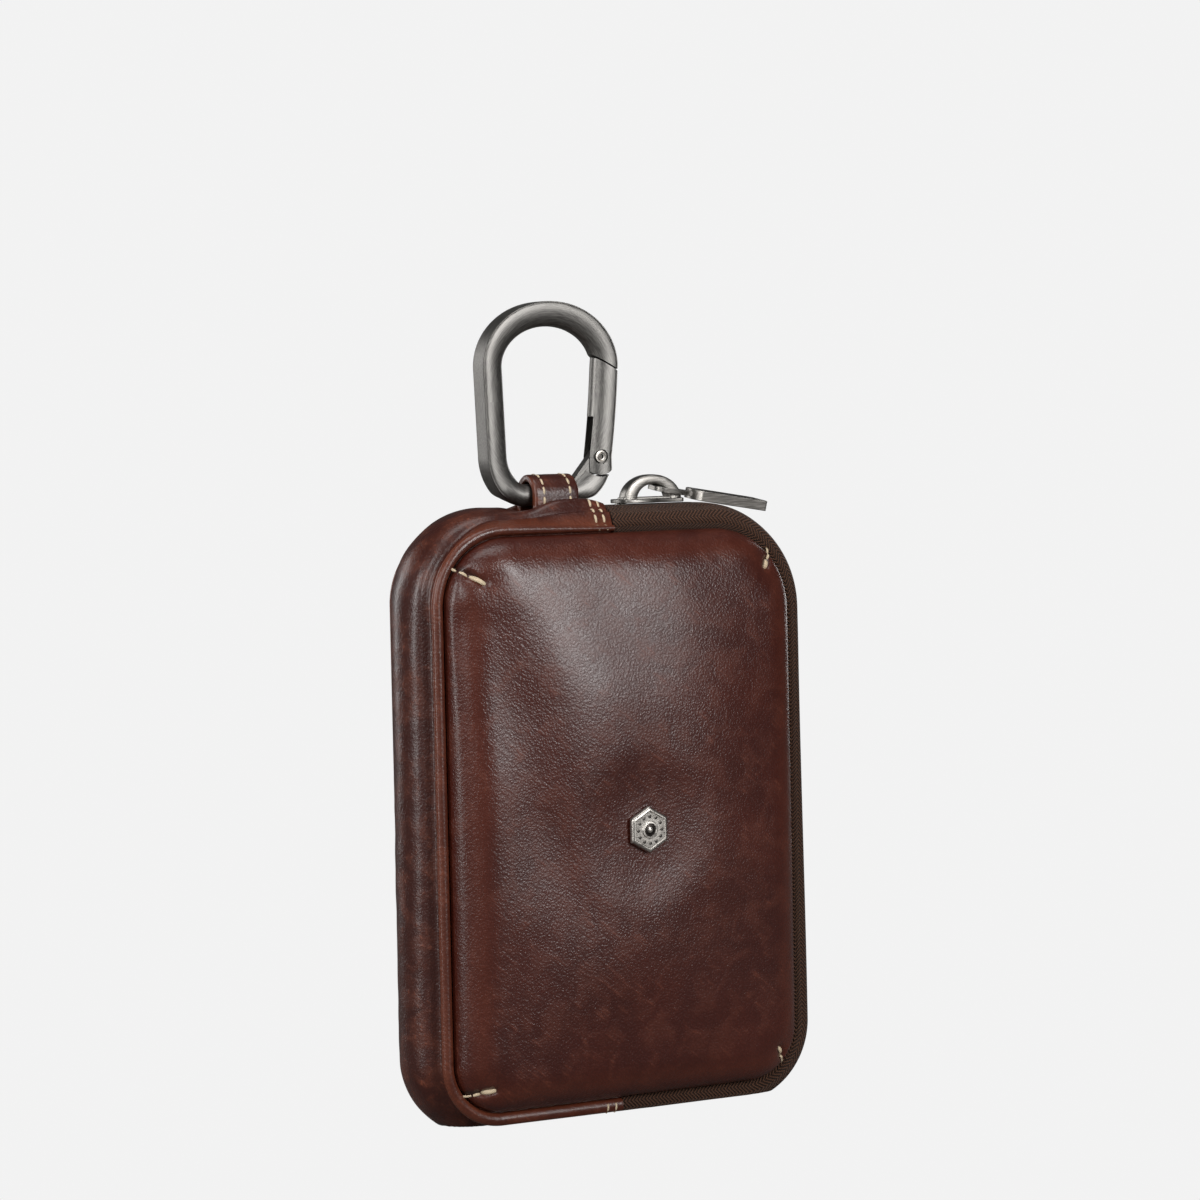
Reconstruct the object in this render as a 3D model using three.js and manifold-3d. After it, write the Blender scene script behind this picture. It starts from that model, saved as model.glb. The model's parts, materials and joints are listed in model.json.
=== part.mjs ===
// Leather utility pouch with a wrap-round zip, a strap loop and a snap hook, in millimetres.
// X runs across the front, Y from the front to the back, Z up from the surface it stands on.
import * as THREE from 'three';
import { mergeVertices } from 'three/addons/utils/BufferGeometryUtils.js';
import Module from 'manifold-3d';

const wasm = await Module();
wasm.setup();

// Gaps and walls
const GAP = 0.3;
const LEATHER = 2;
const TAPE = 1.2;

// Seam line that joins each panel to the band round the sides
const SEAM_WIDTH = 97;
const SEAM_HEIGHT = 140.4;
const SEAM_LIFT = 3.5;
const RADIUS_TOP_LEFT = 17;
const RADIUS_TOP_RIGHT = 21;
const RADIUS_BOTTOM_RIGHT = 14;
const RADIUS_BOTTOM_LEFT = 13;
const RIM_Y = 10.7;

// Front and back panels
const SHOULDER_RISE = 7;
const SHOULDER_REACH = 10;
const PANEL_CROWN = 5;
const DART_LENGTH = 9;
const DART_DEPTH = 0.9;
const DART_SPREAD = 1.8;
const DIMPLE_DEPTH = 1.1;
const DIMPLE_REACH = 15;

// Stud on the front panel
const STUD_ACROSS_FLATS = 10;
const STUD_THICKNESS = 1.7;
const STUD_BEVEL = 0.6;
const STUD_X = 0.9;
const STUD_Z = 71;
const STUD_SEAT = 6.6;

// Leather half of the band
const RIDGE_WIDTH = 2.9;
const RIDGE_PROUD = 2.2;
const CHANNEL_RISE = 2.4;
const BAND_CROWN = 7.4;
const LEATHER_END_TOP = 1.1;
const LEATHER_END_BOTTOM = 2.2;
const HUMP_RISE = 2.9;
const HUMP_SHIFT = 2.9;
const SADDLE_RISE = 5.7;

// Zip half of the band
const TAPE_CROWN = 6.1;
const TAPE_SHOULDER = 0.9;
const SLIT = 0.5;
const COIL_WIDTH = 5;
const COIL_THICKNESS = 1.3;

// Strap loop that holds the snap hook
const LOOP_PLACE = 12.9;
const STRAP_WIDTH = 12.3;
const STRAP_THICKNESS = 1.8;
const BAR_RADIUS = 2.75;
const BAR_CLEARANCE = 0.5;

// Snap hook, measured along the middle of its bar
const HOOK_TOP_HALF_WIDTH = 15.8;
const HOOK_TOP_RISE = 13;
const HOOK_TOP_X = 0.3;
const HOOK_TOP_Z = 31.5;
const HOOK_LEFT_X = 6.5;
const HOOK_LEFT_REACH = 8.2;
const HOOK_LEFT_RISE = 10;
const HOOK_RIGHT_X = 4.5;
const HOOK_RIGHT_REACH = 9.3;
const HOOK_RIGHT_RISE = 9;
const HOOK_THICKNESS = 6.1;
const HOOK_DEPTH = 6;

// Gate of the snap hook
const GATE_END_RADIUS = 4.5;
const GATE_GAP = 0.45;
const GATE_CUT_SLOPE = 0.58;
const GATE_CUT_Z = 31.9;
const TONGUE_RADIUS = 1.8;
const TONGUE_THICKNESS = 2.6;
const SLOT_LENGTH = 10;
const SCREW_RADIUS = 0.8;
const SCREW_HEAD_RADIUS = 1.6;
const SCREW_HEAD_THICKNESS = 0.45;

// Zip slider and its pull
const SLIDER_START = 6.5;
const SLIDER_LENGTH = 18;
const SLIDER_WIDTH = 9.2;
const SLIDER_TAIL_WIDTH = 7;
const SLIDER_PLATE = 1;
const SLIDER_NECK_LENGTH = 2.6;
const SLIDER_NECK_WIDTH = 1.6;
const ARCH_LENGTH = 16.4;
const ARCH_RISE = 6.3;
const ARCH_EYE_LENGTH = 9.2;
const ARCH_EYE_RISE = 3.9;
const ARCH_WIDTH = 3.6;
const PULL_BAR = 1.6;
const PULL_RING_THICKNESS = 1.2;
const PULL_EYE_LENGTH = 6.2;
const PULL_SIDE = 1.2;
const PULL_NECK_WIDTH = 3.4;
const PULL_LENGTH = 31.2;
const PULL_PLATE_LENGTH = 21;
const PULL_PLATE_WIDTH = 8.6;
const PULL_PLATE_THICKNESS = 2.6;
const PULL_DROOP = THREE.MathUtils.degToRad(9.4);
const PULL_ROLL = THREE.MathUtils.degToRad(7);

// Places that follow from the sizes
const seamHalf = SEAM_WIDTH / 2;
const seamTop = SEAM_LIFT + SEAM_HEIGHT;
const lipY = RIM_Y - GAP;
const lipReach = LEATHER + GAP;
const cavityRadius = BAR_RADIUS + BAR_CLEARANCE;
const saddleHalf = cavityRadius + STRAP_THICKNESS + GAP;
const strapFootZ = seamTop + SADDLE_RISE + GAP;
const barZ = strapFootZ + cavityRadius;
const barX = -LOOP_PLACE;
const tapeTop = seamTop + TAPE_CROWN;
const sliderTopZ = tapeTop + GAP + SLIDER_PLATE;

// Small helpers for curves and blends
const mix = (a, b, t) => a + (b - a) * t;
const smooth = (t) => THREE.MathUtils.smoothstep(t, 0, 1);
const bump = (distance, reach, power) => Math.exp(-(Math.abs(distance / reach) ** power));

function valueAt(rows, place, column) {
  let i = 0;
  while (i < rows.length - 2 && place > rows[i + 1].at) i += 1;
  const span = rows[i + 1].at - rows[i].at;
  return mix(rows[i][column], rows[i + 1][column], smooth((place - rows[i].at) / span));
}

function spread(from, to, count) {
  return Array.from({ length: count }, (_, i) => mix(from, to, i / count));
}

// Closed mesh from positions and triangles, turned so that its faces point out
function closedGeometry(points, triangles) {
  let volume = 0;
  const cross = new THREE.Vector3();
  for (const [a, b, c] of triangles) {
    volume += cross.crossVectors(points[b], points[c]).dot(points[a]);
  }
  const index = triangles.flatMap(([a, b, c]) => (volume < 0 ? [a, c, b] : [a, b, c]));
  const geometry = new THREE.BufferGeometry().setFromPoints(points);
  geometry.setIndex(index);
  geometry.computeVertexNormals();
  return geometry;
}

function bandTriangles(first, second, count) {
  const triangles = [];
  for (let i = 0; i < count; i += 1) {
    const next = (i + 1) % count;
    triangles.push([first + i, first + next, second + next], [first + i, second + next, second + i]);
  }
  return triangles;
}

// Solid through closed sections: each has its flat outline and the same outline in space
function loftSections(sections) {
  const count = sections[0].flat.length;
  const points = sections.flatMap((section) => section.points);
  const triangles = [];
  for (let i = 0; i < sections.length - 1; i += 1) {
    triangles.push(...bandTriangles(i * count, (i + 1) * count, count));
  }
  const last = (sections.length - 1) * count;
  const turn = Math.sign(THREE.ShapeUtils.area(sections[0].flat));
  for (const [section, offset, side] of [[sections[0], 0, -1], [sections.at(-1), last, 1]]) {
    const outline = turn > 0 ? section.flat : [...section.flat].reverse();
    for (const face of THREE.ShapeUtils.triangulateShape(outline, [])) {
      const own = face.map((k) => offset + (turn > 0 ? k : count - 1 - k));
      triangles.push(side * turn > 0 ? own : own.reverse());
    }
  }
  return closedGeometry(points, triangles);
}

// Skin through rings that close to a single point at each end
function skinRings(start, rings, end) {
  const count = rings[0].length;
  const points = [start, ...rings.flat(), end];
  const triangles = [];
  for (let i = 0; i < rings.length - 1; i += 1) {
    triangles.push(...bandTriangles(1 + i * count, 1 + (i + 1) * count, count));
  }
  const lastRing = 1 + (rings.length - 1) * count;
  for (let i = 0; i < count; i += 1) {
    const next = (i + 1) % count;
    triangles.push([0, 1 + next, 1 + i], [points.length - 1, lastRing + i, lastRing + next]);
  }
  return closedGeometry(points, triangles);
}

// Joins and cuts
function toSolid(geometry) {
  const bare = geometry.clone();
  bare.deleteAttribute('normal');
  bare.deleteAttribute('uv');
  const merged = mergeVertices(bare, 1e-4);
  const vertProperties = new Float32Array(merged.attributes.position.array);
  const triVerts = new Uint32Array(merged.index.array);
  return new wasm.Manifold(new wasm.Mesh({ numProp: 3, vertProperties, triVerts }));
}

function toGeometry(solid) {
  const mesh = solid.getMesh();
  const geometry = new THREE.BufferGeometry();
  geometry.setAttribute('position', new THREE.BufferAttribute(new Float32Array(mesh.vertProperties), 3));
  geometry.setIndex(new THREE.BufferAttribute(new Uint32Array(mesh.triVerts), 1));
  geometry.computeVertexNormals();
  return geometry;
}

// Plate of an X-Z outline, set evenly about a plane of constant Y
function uprightPlate(shape, thickness, middleY = 0, segments = 8) {
  const options = { depth: thickness, bevelEnabled: false, curveSegments: segments };
  const geometry = new THREE.ExtrudeGeometry(shape, options);
  geometry.rotateX(Math.PI / 2);
  geometry.translate(0, middleY + thickness / 2, 0);
  return geometry;
}

// Plate of an X-Y outline with its underside at the given height
function flatPlate(shape, thickness, bottomZ, bevel = 0) {
  const options = { depth: thickness - 2 * bevel, bevelEnabled: bevel > 0, bevelThickness: bevel,
    bevelSize: bevel, bevelOffset: -bevel, bevelSegments: 1, curveSegments: 6 };
  const geometry = new THREE.ExtrudeGeometry(shape, options);
  geometry.translate(0, 0, bottomZ + bevel);
  return geometry;
}

// Seam line, seen from the front: from the top middle, left and down round to the top middle again
const seamPath = new THREE.Path();
seamPath.moveTo(0, seamTop);
seamPath.lineTo(-seamHalf + RADIUS_TOP_LEFT, seamTop);
seamPath.absarc(-seamHalf + RADIUS_TOP_LEFT, seamTop - RADIUS_TOP_LEFT, RADIUS_TOP_LEFT,
  Math.PI / 2, Math.PI, false);
seamPath.lineTo(-seamHalf, SEAM_LIFT + RADIUS_BOTTOM_LEFT);
seamPath.absarc(-seamHalf + RADIUS_BOTTOM_LEFT, SEAM_LIFT + RADIUS_BOTTOM_LEFT, RADIUS_BOTTOM_LEFT,
  Math.PI, Math.PI * 1.5, false);
seamPath.lineTo(seamHalf - RADIUS_BOTTOM_RIGHT, SEAM_LIFT);
seamPath.absarc(seamHalf - RADIUS_BOTTOM_RIGHT, SEAM_LIFT + RADIUS_BOTTOM_RIGHT, RADIUS_BOTTOM_RIGHT,
  -Math.PI / 2, 0, false);
seamPath.lineTo(seamHalf, seamTop - RADIUS_TOP_RIGHT);
seamPath.absarc(seamHalf - RADIUS_TOP_RIGHT, seamTop - RADIUS_TOP_RIGHT, RADIUS_TOP_RIGHT,
  0, Math.PI / 2, false);
seamPath.lineTo(0, seamTop);

// Distances along the seam line where its corners start and end
const quarter = Math.PI / 2;
const seamLength = seamPath.getLength();
const topLeftStart = seamHalf - RADIUS_TOP_LEFT;
const topLeftEnd = topLeftStart + quarter * RADIUS_TOP_LEFT;
const bottomLeftStart = topLeftEnd + SEAM_HEIGHT - RADIUS_TOP_LEFT - RADIUS_BOTTOM_LEFT;
const bottomLeftEnd = bottomLeftStart + quarter * RADIUS_BOTTOM_LEFT;
const bottomRightStart = bottomLeftEnd + SEAM_WIDTH - RADIUS_BOTTOM_LEFT - RADIUS_BOTTOM_RIGHT;
const bottomRightEnd = bottomRightStart + quarter * RADIUS_BOTTOM_RIGHT;
const topRightStart = bottomRightEnd + SEAM_HEIGHT - RADIUS_BOTTOM_RIGHT - RADIUS_TOP_RIGHT;
const topRightEnd = topRightStart + quarter * RADIUS_TOP_RIGHT;
const bottomMiddle = bottomLeftEnd + seamHalf - RADIUS_BOTTOM_LEFT;
const leatherStart = LEATHER_END_TOP;
const leatherEnd = bottomMiddle - LEATHER_END_BOTTOM;

// Point of the seam line at a distance along it, with the direction away from the pouch
function seamAt(distance) {
  const share = THREE.MathUtils.clamp(distance / seamLength, 0, 1);
  const point = seamPath.getPointAt(share);
  const along = seamPath.getTangentAt(share);
  return { x: point.x, z: point.y, outX: along.y, outZ: -along.x };
}

// Section of the band in space: v outwards from the seam line, y from front to back.
// Where the pouch stands, the outside lies flat on the surface and the inside keeps its wall.
function bandSection(distance, outline) {
  const place = seamAt(distance);
  const points = outline.map(({ v, y, floor }) => new THREE.Vector3(
    place.x + place.outX * v, y, Math.max(place.z + place.outZ * v, floor)));
  return { flat: outline.map(({ v, y }) => new THREE.Vector2(v, y)), points };
}

// Swell of the leather band from its top end, round the left side, to its bottom end
const LEATHER_ROWS = [
  { at: 0, ridge: 0.55, channel: 1.9, crown: 0.97 },
  { at: 0.14, ridge: 0.9, channel: 1.7, crown: 0.93 },
  { at: 0.2, ridge: 1, channel: 1.2, crown: 0.9 },
  { at: 0.32, ridge: 1, channel: 1, crown: 0.96 },
  { at: 0.75, ridge: 1, channel: 1, crown: 1.03 },
  { at: 0.83, ridge: 1.1, channel: 1, crown: 0.94 },
  { at: 1, ridge: 1.15, channel: 1.3, crown: 0.85 },
];

function leatherSwell(distance) {
  const share = (distance - leatherStart) / (leatherEnd - leatherStart);
  const sideways = distance - LOOP_PLACE;
  const past = Math.abs(sideways) - STRAP_WIDTH / 2;
  const reach = sideways > 0 ? [0.16, 0.65] : [0.04, 0.33];
  const [full, none] = reach.map((k) => k * STRAP_WIDTH);
  return {
    ridge: RIDGE_WIDTH * valueAt(LEATHER_ROWS, share, 'ridge'),
    channel: CHANNEL_RISE * valueAt(LEATHER_ROWS, share, 'channel'),
    crown: BAND_CROWN * valueAt(LEATHER_ROWS, share, 'crown'),
    hump: HUMP_RISE * bump(sideways + HUMP_SHIFT, 0.8 * STRAP_WIDTH, 3),
    saddle: 1 - smooth((past - full) / (none - full)),
  };
}

function leatherRise(swell, y) {
  const domeHalf = 0.79 * lipY;
  const arch = Math.max(0, 1 - (y / domeHalf) ** 2) ** 0.6;
  const dome = swell.channel + (swell.crown - swell.channel) * arch;
  const low = Math.min(dome, SADDLE_RISE);
  return Math.abs(y) < saddleHalf + GAP ? mix(dome, low, swell.saddle) : dome;
}

function leatherSection(distance) {
  const swell = leatherSwell(distance);
  const ridgeHalf = swell.ridge / 2;
  const ridgeY = lipY + RIDGE_PROUD - RIDGE_WIDTH / 2;
  const front = [{ v: -lipReach, y: -lipY, floor: 0 }, { v: 0, y: -lipY, floor: 0 }];
  for (let i = 0; i <= 4; i += 1) {
    const angle = Math.PI * (1 - i / 4);
    const v = ridgeHalf + ridgeHalf * Math.cos(angle);
    front.push({ v, y: -ridgeY - RIDGE_WIDTH / 2 * Math.sin(angle), floor: 0 });
  }
  const outerWidths = [0.87, 0.77, 0.69].map((k) => k * lipY);
  outerWidths.push(saddleHalf + 2 * GAP, saddleHalf, 0.68 * saddleHalf, 0.34 * saddleHalf);
  for (const width of outerWidths) {
    const lift = swell.hump * bump(width - 0.67 * lipY, 0.2 * lipY, 2);
    const beside = width > saddleHalf ? 1 : 1 - swell.saddle;
    front.push({ v: leatherRise(swell, width) + lift * beside, y: -width, floor: 0 });
  }
  const middle = { v: leatherRise(swell, 0), y: 0, floor: 0 };
  const innerWidths = [0.62, 0.5, 0.25].map((k) => k * lipY);
  const inner = [{ v: -lipReach, y: -lipY + LEATHER }];
  inner.push({ v: Math.min(swell.channel, CHANNEL_RISE) - LEATHER, y: -lipY + 1.3 * LEATHER });
  for (const width of innerWidths) inner.push({ v: leatherRise(swell, width) - LEATHER, y: -width });
  inner.forEach((row) => { row.floor = LEATHER; });
  const innerMiddle = { v: leatherRise(swell, 0) - LEATHER, y: 0, floor: LEATHER };
  const flip = (rows) => rows.map((row) => ({ ...row, y: -row.y })).reverse();
  return bandSection(distance,
    [...front, middle, ...flip(front), ...flip(inner).reverse(), innerMiddle, ...inner.reverse()]);
}

function makeLeatherBand() {
  const distances = [
    ...spread(leatherStart, topLeftStart, 13),
    ...spread(topLeftStart, topLeftEnd, 6),
    ...spread(topLeftEnd, bottomLeftStart, 5),
    ...spread(bottomLeftStart, bottomLeftEnd, 6),
    ...spread(bottomLeftEnd, leatherEnd, 3),
    leatherEnd,
  ];
  return loftSections(distances.map(leatherSection));
}

// Swell of the zip tapes from their top end, round the right side, to their bottom end
const TAPE_ROWS = [
  { at: 0, crown: 1 },
  { at: 0.14, crown: 1 },
  { at: 0.2, crown: 0.93 },
  { at: 0.32, crown: 0.97 },
  { at: 0.74, crown: 1.12 },
  { at: 0.86, crown: 1.02 },
  { at: 1, crown: 0.9 },
];

// One tape's outline: a row for each corner, v as a share of the crown, y as a share of the lip
const TAPE_OUTLINE = [
  { rise: 0.03, width: 1.05 },
  { rise: 0.28, width: 1.1 },
  { rise: 0.56, width: 1.06 },
  { rise: 0.78, width: 0.96 },
  { rise: 0.9, width: 0.81 },
  { rise: 0.97, width: 0.6 },
  { rise: 1, width: 0.32 },
];

const tapeStart = seamLength + leatherStart - GAP;
const tapeEnd = leatherEnd + GAP;

function tapeCrown(distance) {
  const share = (tapeStart - distance) / (tapeStart - tapeEnd);
  return TAPE_CROWN * valueAt(TAPE_ROWS, share, 'crown');
}

function wrapSeam(distance) {
  return distance > seamLength ? distance - seamLength : distance;
}

// The slider's neck parts the tapes above it, and below it they meet
function slitHalf(distance) {
  const x = seamLength - distance;
  const neckEnd = SLIDER_START + SLIDER_NECK_LENGTH + GAP;
  const parted = SLIDER_NECK_WIDTH / 2 + GAP;
  return mix(parted, SLIT / 2, smooth((x - neckEnd) / SLIDER_NECK_LENGTH));
}

function tapeSection(distance, side) {
  const crown = tapeCrown(distance);
  const outer = TAPE_OUTLINE.map(({ rise, width }) => ({ v: rise * crown, y: width * lipY, floor: 0 }));
  outer.push({ v: crown, y: slitHalf(distance), floor: 0 });
  const inner = [{ v: crown - TAPE, y: slitHalf(distance), floor: TAPE }];
  inner.push({ v: crown - TAPE, y: 0.32 * lipY, floor: TAPE });
  inner.push({ v: 0.95 * crown - TAPE, y: 0.6 * lipY, floor: TAPE });
  inner.push({ v: 0.7 * crown - TAPE, y: TAPE_SHOULDER * lipY - TAPE, floor: TAPE });
  inner.push({ v: 0.03 * crown, y: lipY - TAPE, floor: TAPE });
  const lip = [{ v: -lipReach, y: lipY - TAPE, floor: TAPE }, { v: -lipReach, y: lipY, floor: 0 }];
  lip.push({ v: 0, y: lipY, floor: 0 });
  const outline = [...lip, ...outer, ...inner].map((row) => ({ ...row, y: side * row.y }));
  return bandSection(wrapSeam(distance), outline);
}

const tapeDistances = [
  ...spread(tapeStart, seamLength - SLIDER_START - SLIDER_NECK_LENGTH, 3),
  ...spread(seamLength - SLIDER_START - SLIDER_NECK_LENGTH, topRightEnd, 6),
  ...spread(topRightEnd, topRightStart, 8),
  ...spread(topRightStart, bottomRightEnd, 7),
  ...spread(bottomRightEnd, bottomRightStart, 7),
  ...spread(bottomRightStart, tapeEnd, 4),
  tapeEnd,
];

function makeTape(side) {
  return loftSections(tapeDistances.map((distance) => tapeSection(distance, side)));
}

// The coil lies under the tapes, from inside the slider to the bottom end
function coilSection(distance) {
  const top = tapeCrown(distance) - TAPE - GAP;
  const half = COIL_WIDTH / 2;
  const low = TAPE + GAP;
  const corners = [[top, -half], [top, half], [top - COIL_THICKNESS, half], [top - COIL_THICKNESS, -half]];
  const floors = [low, low, low + COIL_THICKNESS, low + COIL_THICKNESS];
  return bandSection(distance, corners.map(([v, y], i) => ({ v, y, floor: floors[i] })));
}

function makeCoil() {
  const start = seamLength - SLIDER_START - SLIDER_NECK_LENGTH - 2 * GAP;
  const distances = tapeDistances.filter((distance) => distance < start);
  return loftSections([start, ...distances].map(coilSection));
}

// Panels: a shell that rises from its rim over a rounded shoulder to a soft crown
function dartDepth(x, z) {
  const corners = [
    [-1, 1, RADIUS_TOP_LEFT], [1, 1, RADIUS_TOP_RIGHT],
    [1, -1, RADIUS_BOTTOM_RIGHT], [-1, -1, RADIUS_BOTTOM_LEFT],
  ];
  let depth = 0;
  for (const [sideX, sideZ, radius] of corners) {
    const centreX = sideX * (seamHalf - radius);
    const centreZ = sideZ > 0 ? seamTop - radius : SEAM_LIFT + radius;
    const inX = (centreX - x) * sideX;
    const inZ = (centreZ - z) * sideZ;
    const across = (inX - inZ) / Math.SQRT2;
    const along = radius + (inX + inZ) / Math.SQRT2;
    depth += DART_DEPTH * bump(across, DART_SPREAD, 2) * bump(along, DART_LENGTH, 3);
  }
  return depth;
}

function panelRise(x, z, inward, wall, dimple) {
  const share = THREE.MathUtils.clamp((inward - wall) / (SHOULDER_REACH - wall), 0, 1);
  const shoulder = (SHOULDER_RISE - wall) * (1 - (1 - share) ** 2.2) ** (1 / 2.2);
  const acrossX = Math.min(1, Math.abs(x) / seamHalf);
  const acrossZ = Math.min(1, Math.abs(z - seamTop + SEAM_HEIGHT / 2) / (SEAM_HEIGHT / 2));
  const crown = PANEL_CROWN * (1 - acrossX ** 2.4) * (1 - acrossZ ** 2.8);
  const fromStud = Math.max(0, Math.hypot(x - STUD_X, z - STUD_Z) - STUD_SEAT);
  const dent = dimple * DIMPLE_DEPTH * (1 - smooth(fromStud / DIMPLE_REACH));
  return shoulder + crown - dent - (share > 0 ? dartDepth(x, z) * share : 0);
}

// The flat seat that the stud lies on: the lowest reach of the crown within it
function seatRise(dimple) {
  const rises = [0, 1, 2, 3].map((k) => panelRise(STUD_X + STUD_SEAT * Math.cos(k * quarter),
    STUD_Z + STUD_SEAT * Math.sin(k * quarter), SHOULDER_REACH, 0, dimple));
  return Math.min(...rises);
}

const panelDistances = [
  ...spread(0, topLeftStart, 3),
  ...spread(topLeftStart, topLeftEnd, 7),
  ...spread(topLeftEnd, bottomLeftStart, 6),
  ...spread(bottomLeftStart, bottomLeftEnd, 7),
  ...spread(bottomLeftEnd, bottomRightStart, 5),
  ...spread(bottomRightStart, bottomRightEnd, 7),
  ...spread(bottomRightEnd, topRightStart, 6),
  ...spread(topRightStart, topRightEnd, 7),
  ...spread(topRightEnd, seamLength, 3),
];

function panelRing(inward, toSeat, wall, side, dimple) {
  return panelDistances.map((distance) => {
    const place = seamAt(distance);
    const x = place.x - place.outX * (inward + GAP);
    const z = place.z - place.outZ * (inward + GAP);
    const angle = Math.atan2(z - STUD_Z, x - STUD_X);
    const px = mix(x, STUD_X + STUD_SEAT * Math.cos(angle), toSeat);
    const pz = mix(z, STUD_Z + STUD_SEAT * Math.sin(angle), toSeat);
    const free = panelRise(px, pz, inward, wall, dimple);
    const rise = toSeat === 1 ? seatRise(dimple) - wall : free;
    return new THREE.Vector3(px, side * (RIM_Y + rise), pz);
  });
}

function makePanel(side, dimple) {
  const outside = [0, 0.02, 0.09, 0.22, 0.42, 0.68, 1].map((share) =>
    panelRing(share * SHOULDER_REACH, 0, 0, side, dimple));
  const crownRings = [0.35, 0.62, 0.84, 1];
  outside.push(...crownRings.map((share) => panelRing(SHOULDER_REACH, share, 0, side, dimple)));
  const innerReach = SHOULDER_REACH - LEATHER;
  const inside = [0, 0.05, 0.2, 0.5, 1].map((share) =>
    panelRing(LEATHER + share * innerReach, 0, LEATHER, side, dimple));
  inside.push(...[0.5, 1].map((share) => panelRing(SHOULDER_REACH, share, LEATHER, side, dimple)));
  const rise = seatRise(dimple);
  const top = new THREE.Vector3(STUD_X, side * (RIM_Y + rise), STUD_Z);
  const under = new THREE.Vector3(STUD_X, side * (RIM_Y + rise - LEATHER), STUD_Z);
  return skinRings(top, [...outside.reverse(), ...inside], under);
}

// Six-sided stud with its points up and down
function makeStud() {
  const corner = STUD_ACROSS_FLATS / Math.sqrt(3);
  const shrink = (corner - STUD_BEVEL) / corner;
  const hexagon = (scale) => Array.from({ length: 6 }, (_, k) => {
    const angle = Math.PI / 2 + k * Math.PI / 3;
    return new THREE.Vector2(scale * corner * Math.cos(angle), scale * corner * Math.sin(angle));
  });
  const backY = -RIM_Y - seatRise(1) - GAP;
  const layers = [[1, 0], [1, STUD_THICKNESS - STUD_BEVEL], [shrink, STUD_THICKNESS]];
  return loftSections(layers.map(([scale, proud]) => {
    const flat = hexagon(scale);
    return { flat, points: flat.map((p) => new THREE.Vector3(STUD_X + p.x, backY - proud, STUD_Z + p.y)) };
  }));
}

// Strap loop: an arch over the hook's bar, with both legs down to the band
function makeStrap() {
  const outer = cavityRadius + STRAP_THICKNESS;
  const shape = new THREE.Shape();
  shape.moveTo(-outer, strapFootZ);
  shape.lineTo(-outer, barZ);
  shape.absarc(0, barZ, outer, Math.PI, 0, true);
  shape.lineTo(outer, strapFootZ);
  shape.lineTo(cavityRadius, strapFootZ);
  shape.lineTo(cavityRadius, barZ);
  shape.absarc(0, barZ, cavityRadius, 0, Math.PI, false);
  shape.lineTo(-cavityRadius, strapFootZ);
  const options = { depth: STRAP_WIDTH, bevelEnabled: false, curveSegments: 14 };
  const geometry = new THREE.ExtrudeGeometry(shape, options);
  geometry.rotateX(Math.PI / 2);
  geometry.rotateZ(Math.PI / 2);
  geometry.translate(barX - STRAP_WIDTH / 2, 0, 0);
  return geometry;
}

// Middle line of the snap hook, from its nose over the top and down the left side to the gate's hinge
const hingeX = HOOK_RIGHT_X + HOOK_RIGHT_REACH;
const hingeZ = HOOK_RIGHT_RISE;
const noseX = HOOK_TOP_X + HOOK_TOP_HALF_WIDTH;

function hookLine() {
  const line = [];
  const add = (x, z, outX, outZ, round = 0) => {
    const length = Math.hypot(outX, outZ);
    line.push({ x, z, outX: outX / length, outZ: outZ / length, round });
  };
  const addArc = (centreX, centreZ, reach, rise, from, to, count, roundAt) => {
    for (let i = 0; i <= count; i += 1) {
      const angle = THREE.MathUtils.degToRad(mix(from, to, i / count));
      const [c, s] = [Math.cos(angle), Math.sin(angle)];
      add(centreX + reach * c, centreZ + rise * s, c / reach, s / rise, roundAt(i / count));
    }
  };
  const plain = () => 0;
  add(noseX - 0.1 * HOOK_THICKNESS, HOOK_TOP_Z - 0.8 * HOOK_THICKNESS, 1, -0.1);
  addArc(HOOK_TOP_X, HOOK_TOP_Z, HOOK_TOP_HALF_WIDTH, HOOK_TOP_RISE, 0, 180, 15, plain);
  const leftTop = HOOK_TOP_X - HOOK_TOP_HALF_WIDTH;
  const leftLow = -HOOK_LEFT_X - HOOK_LEFT_REACH;
  for (const share of [0.25, 0.5, 0.75]) {
    const lean = (leftLow - leftTop) / (HOOK_TOP_Z - HOOK_LEFT_RISE);
    add(mix(leftTop, leftLow, share), mix(HOOK_TOP_Z, HOOK_LEFT_RISE, share), -1, -lean);
  }
  addArc(-HOOK_LEFT_X, HOOK_LEFT_RISE, HOOK_LEFT_REACH, HOOK_LEFT_RISE, 180, 270, 8,
    (t) => smooth((t - 0.5) / 0.3));
  addArc(HOOK_RIGHT_X, HOOK_RIGHT_RISE, HOOK_RIGHT_REACH, HOOK_RIGHT_RISE, 270, 360, 8,
    (t) => 1 - smooth((t - 0.15) / 0.3));
  return line;
}

// Section of the hook's bar: a flat outside, a bulged front and back and a narrow inside.
// Where the strap holds it, the bar is nearly round.
const BAR_SECTION = [
  { out: 1, deep: 0.87 }, { out: 0.78, deep: 1 }, { out: 0.28, deep: 1 },
  { out: -0.3, deep: 0.9 }, { out: -0.72, deep: 0.66 }, { out: -1, deep: 0.3 },
];

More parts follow.
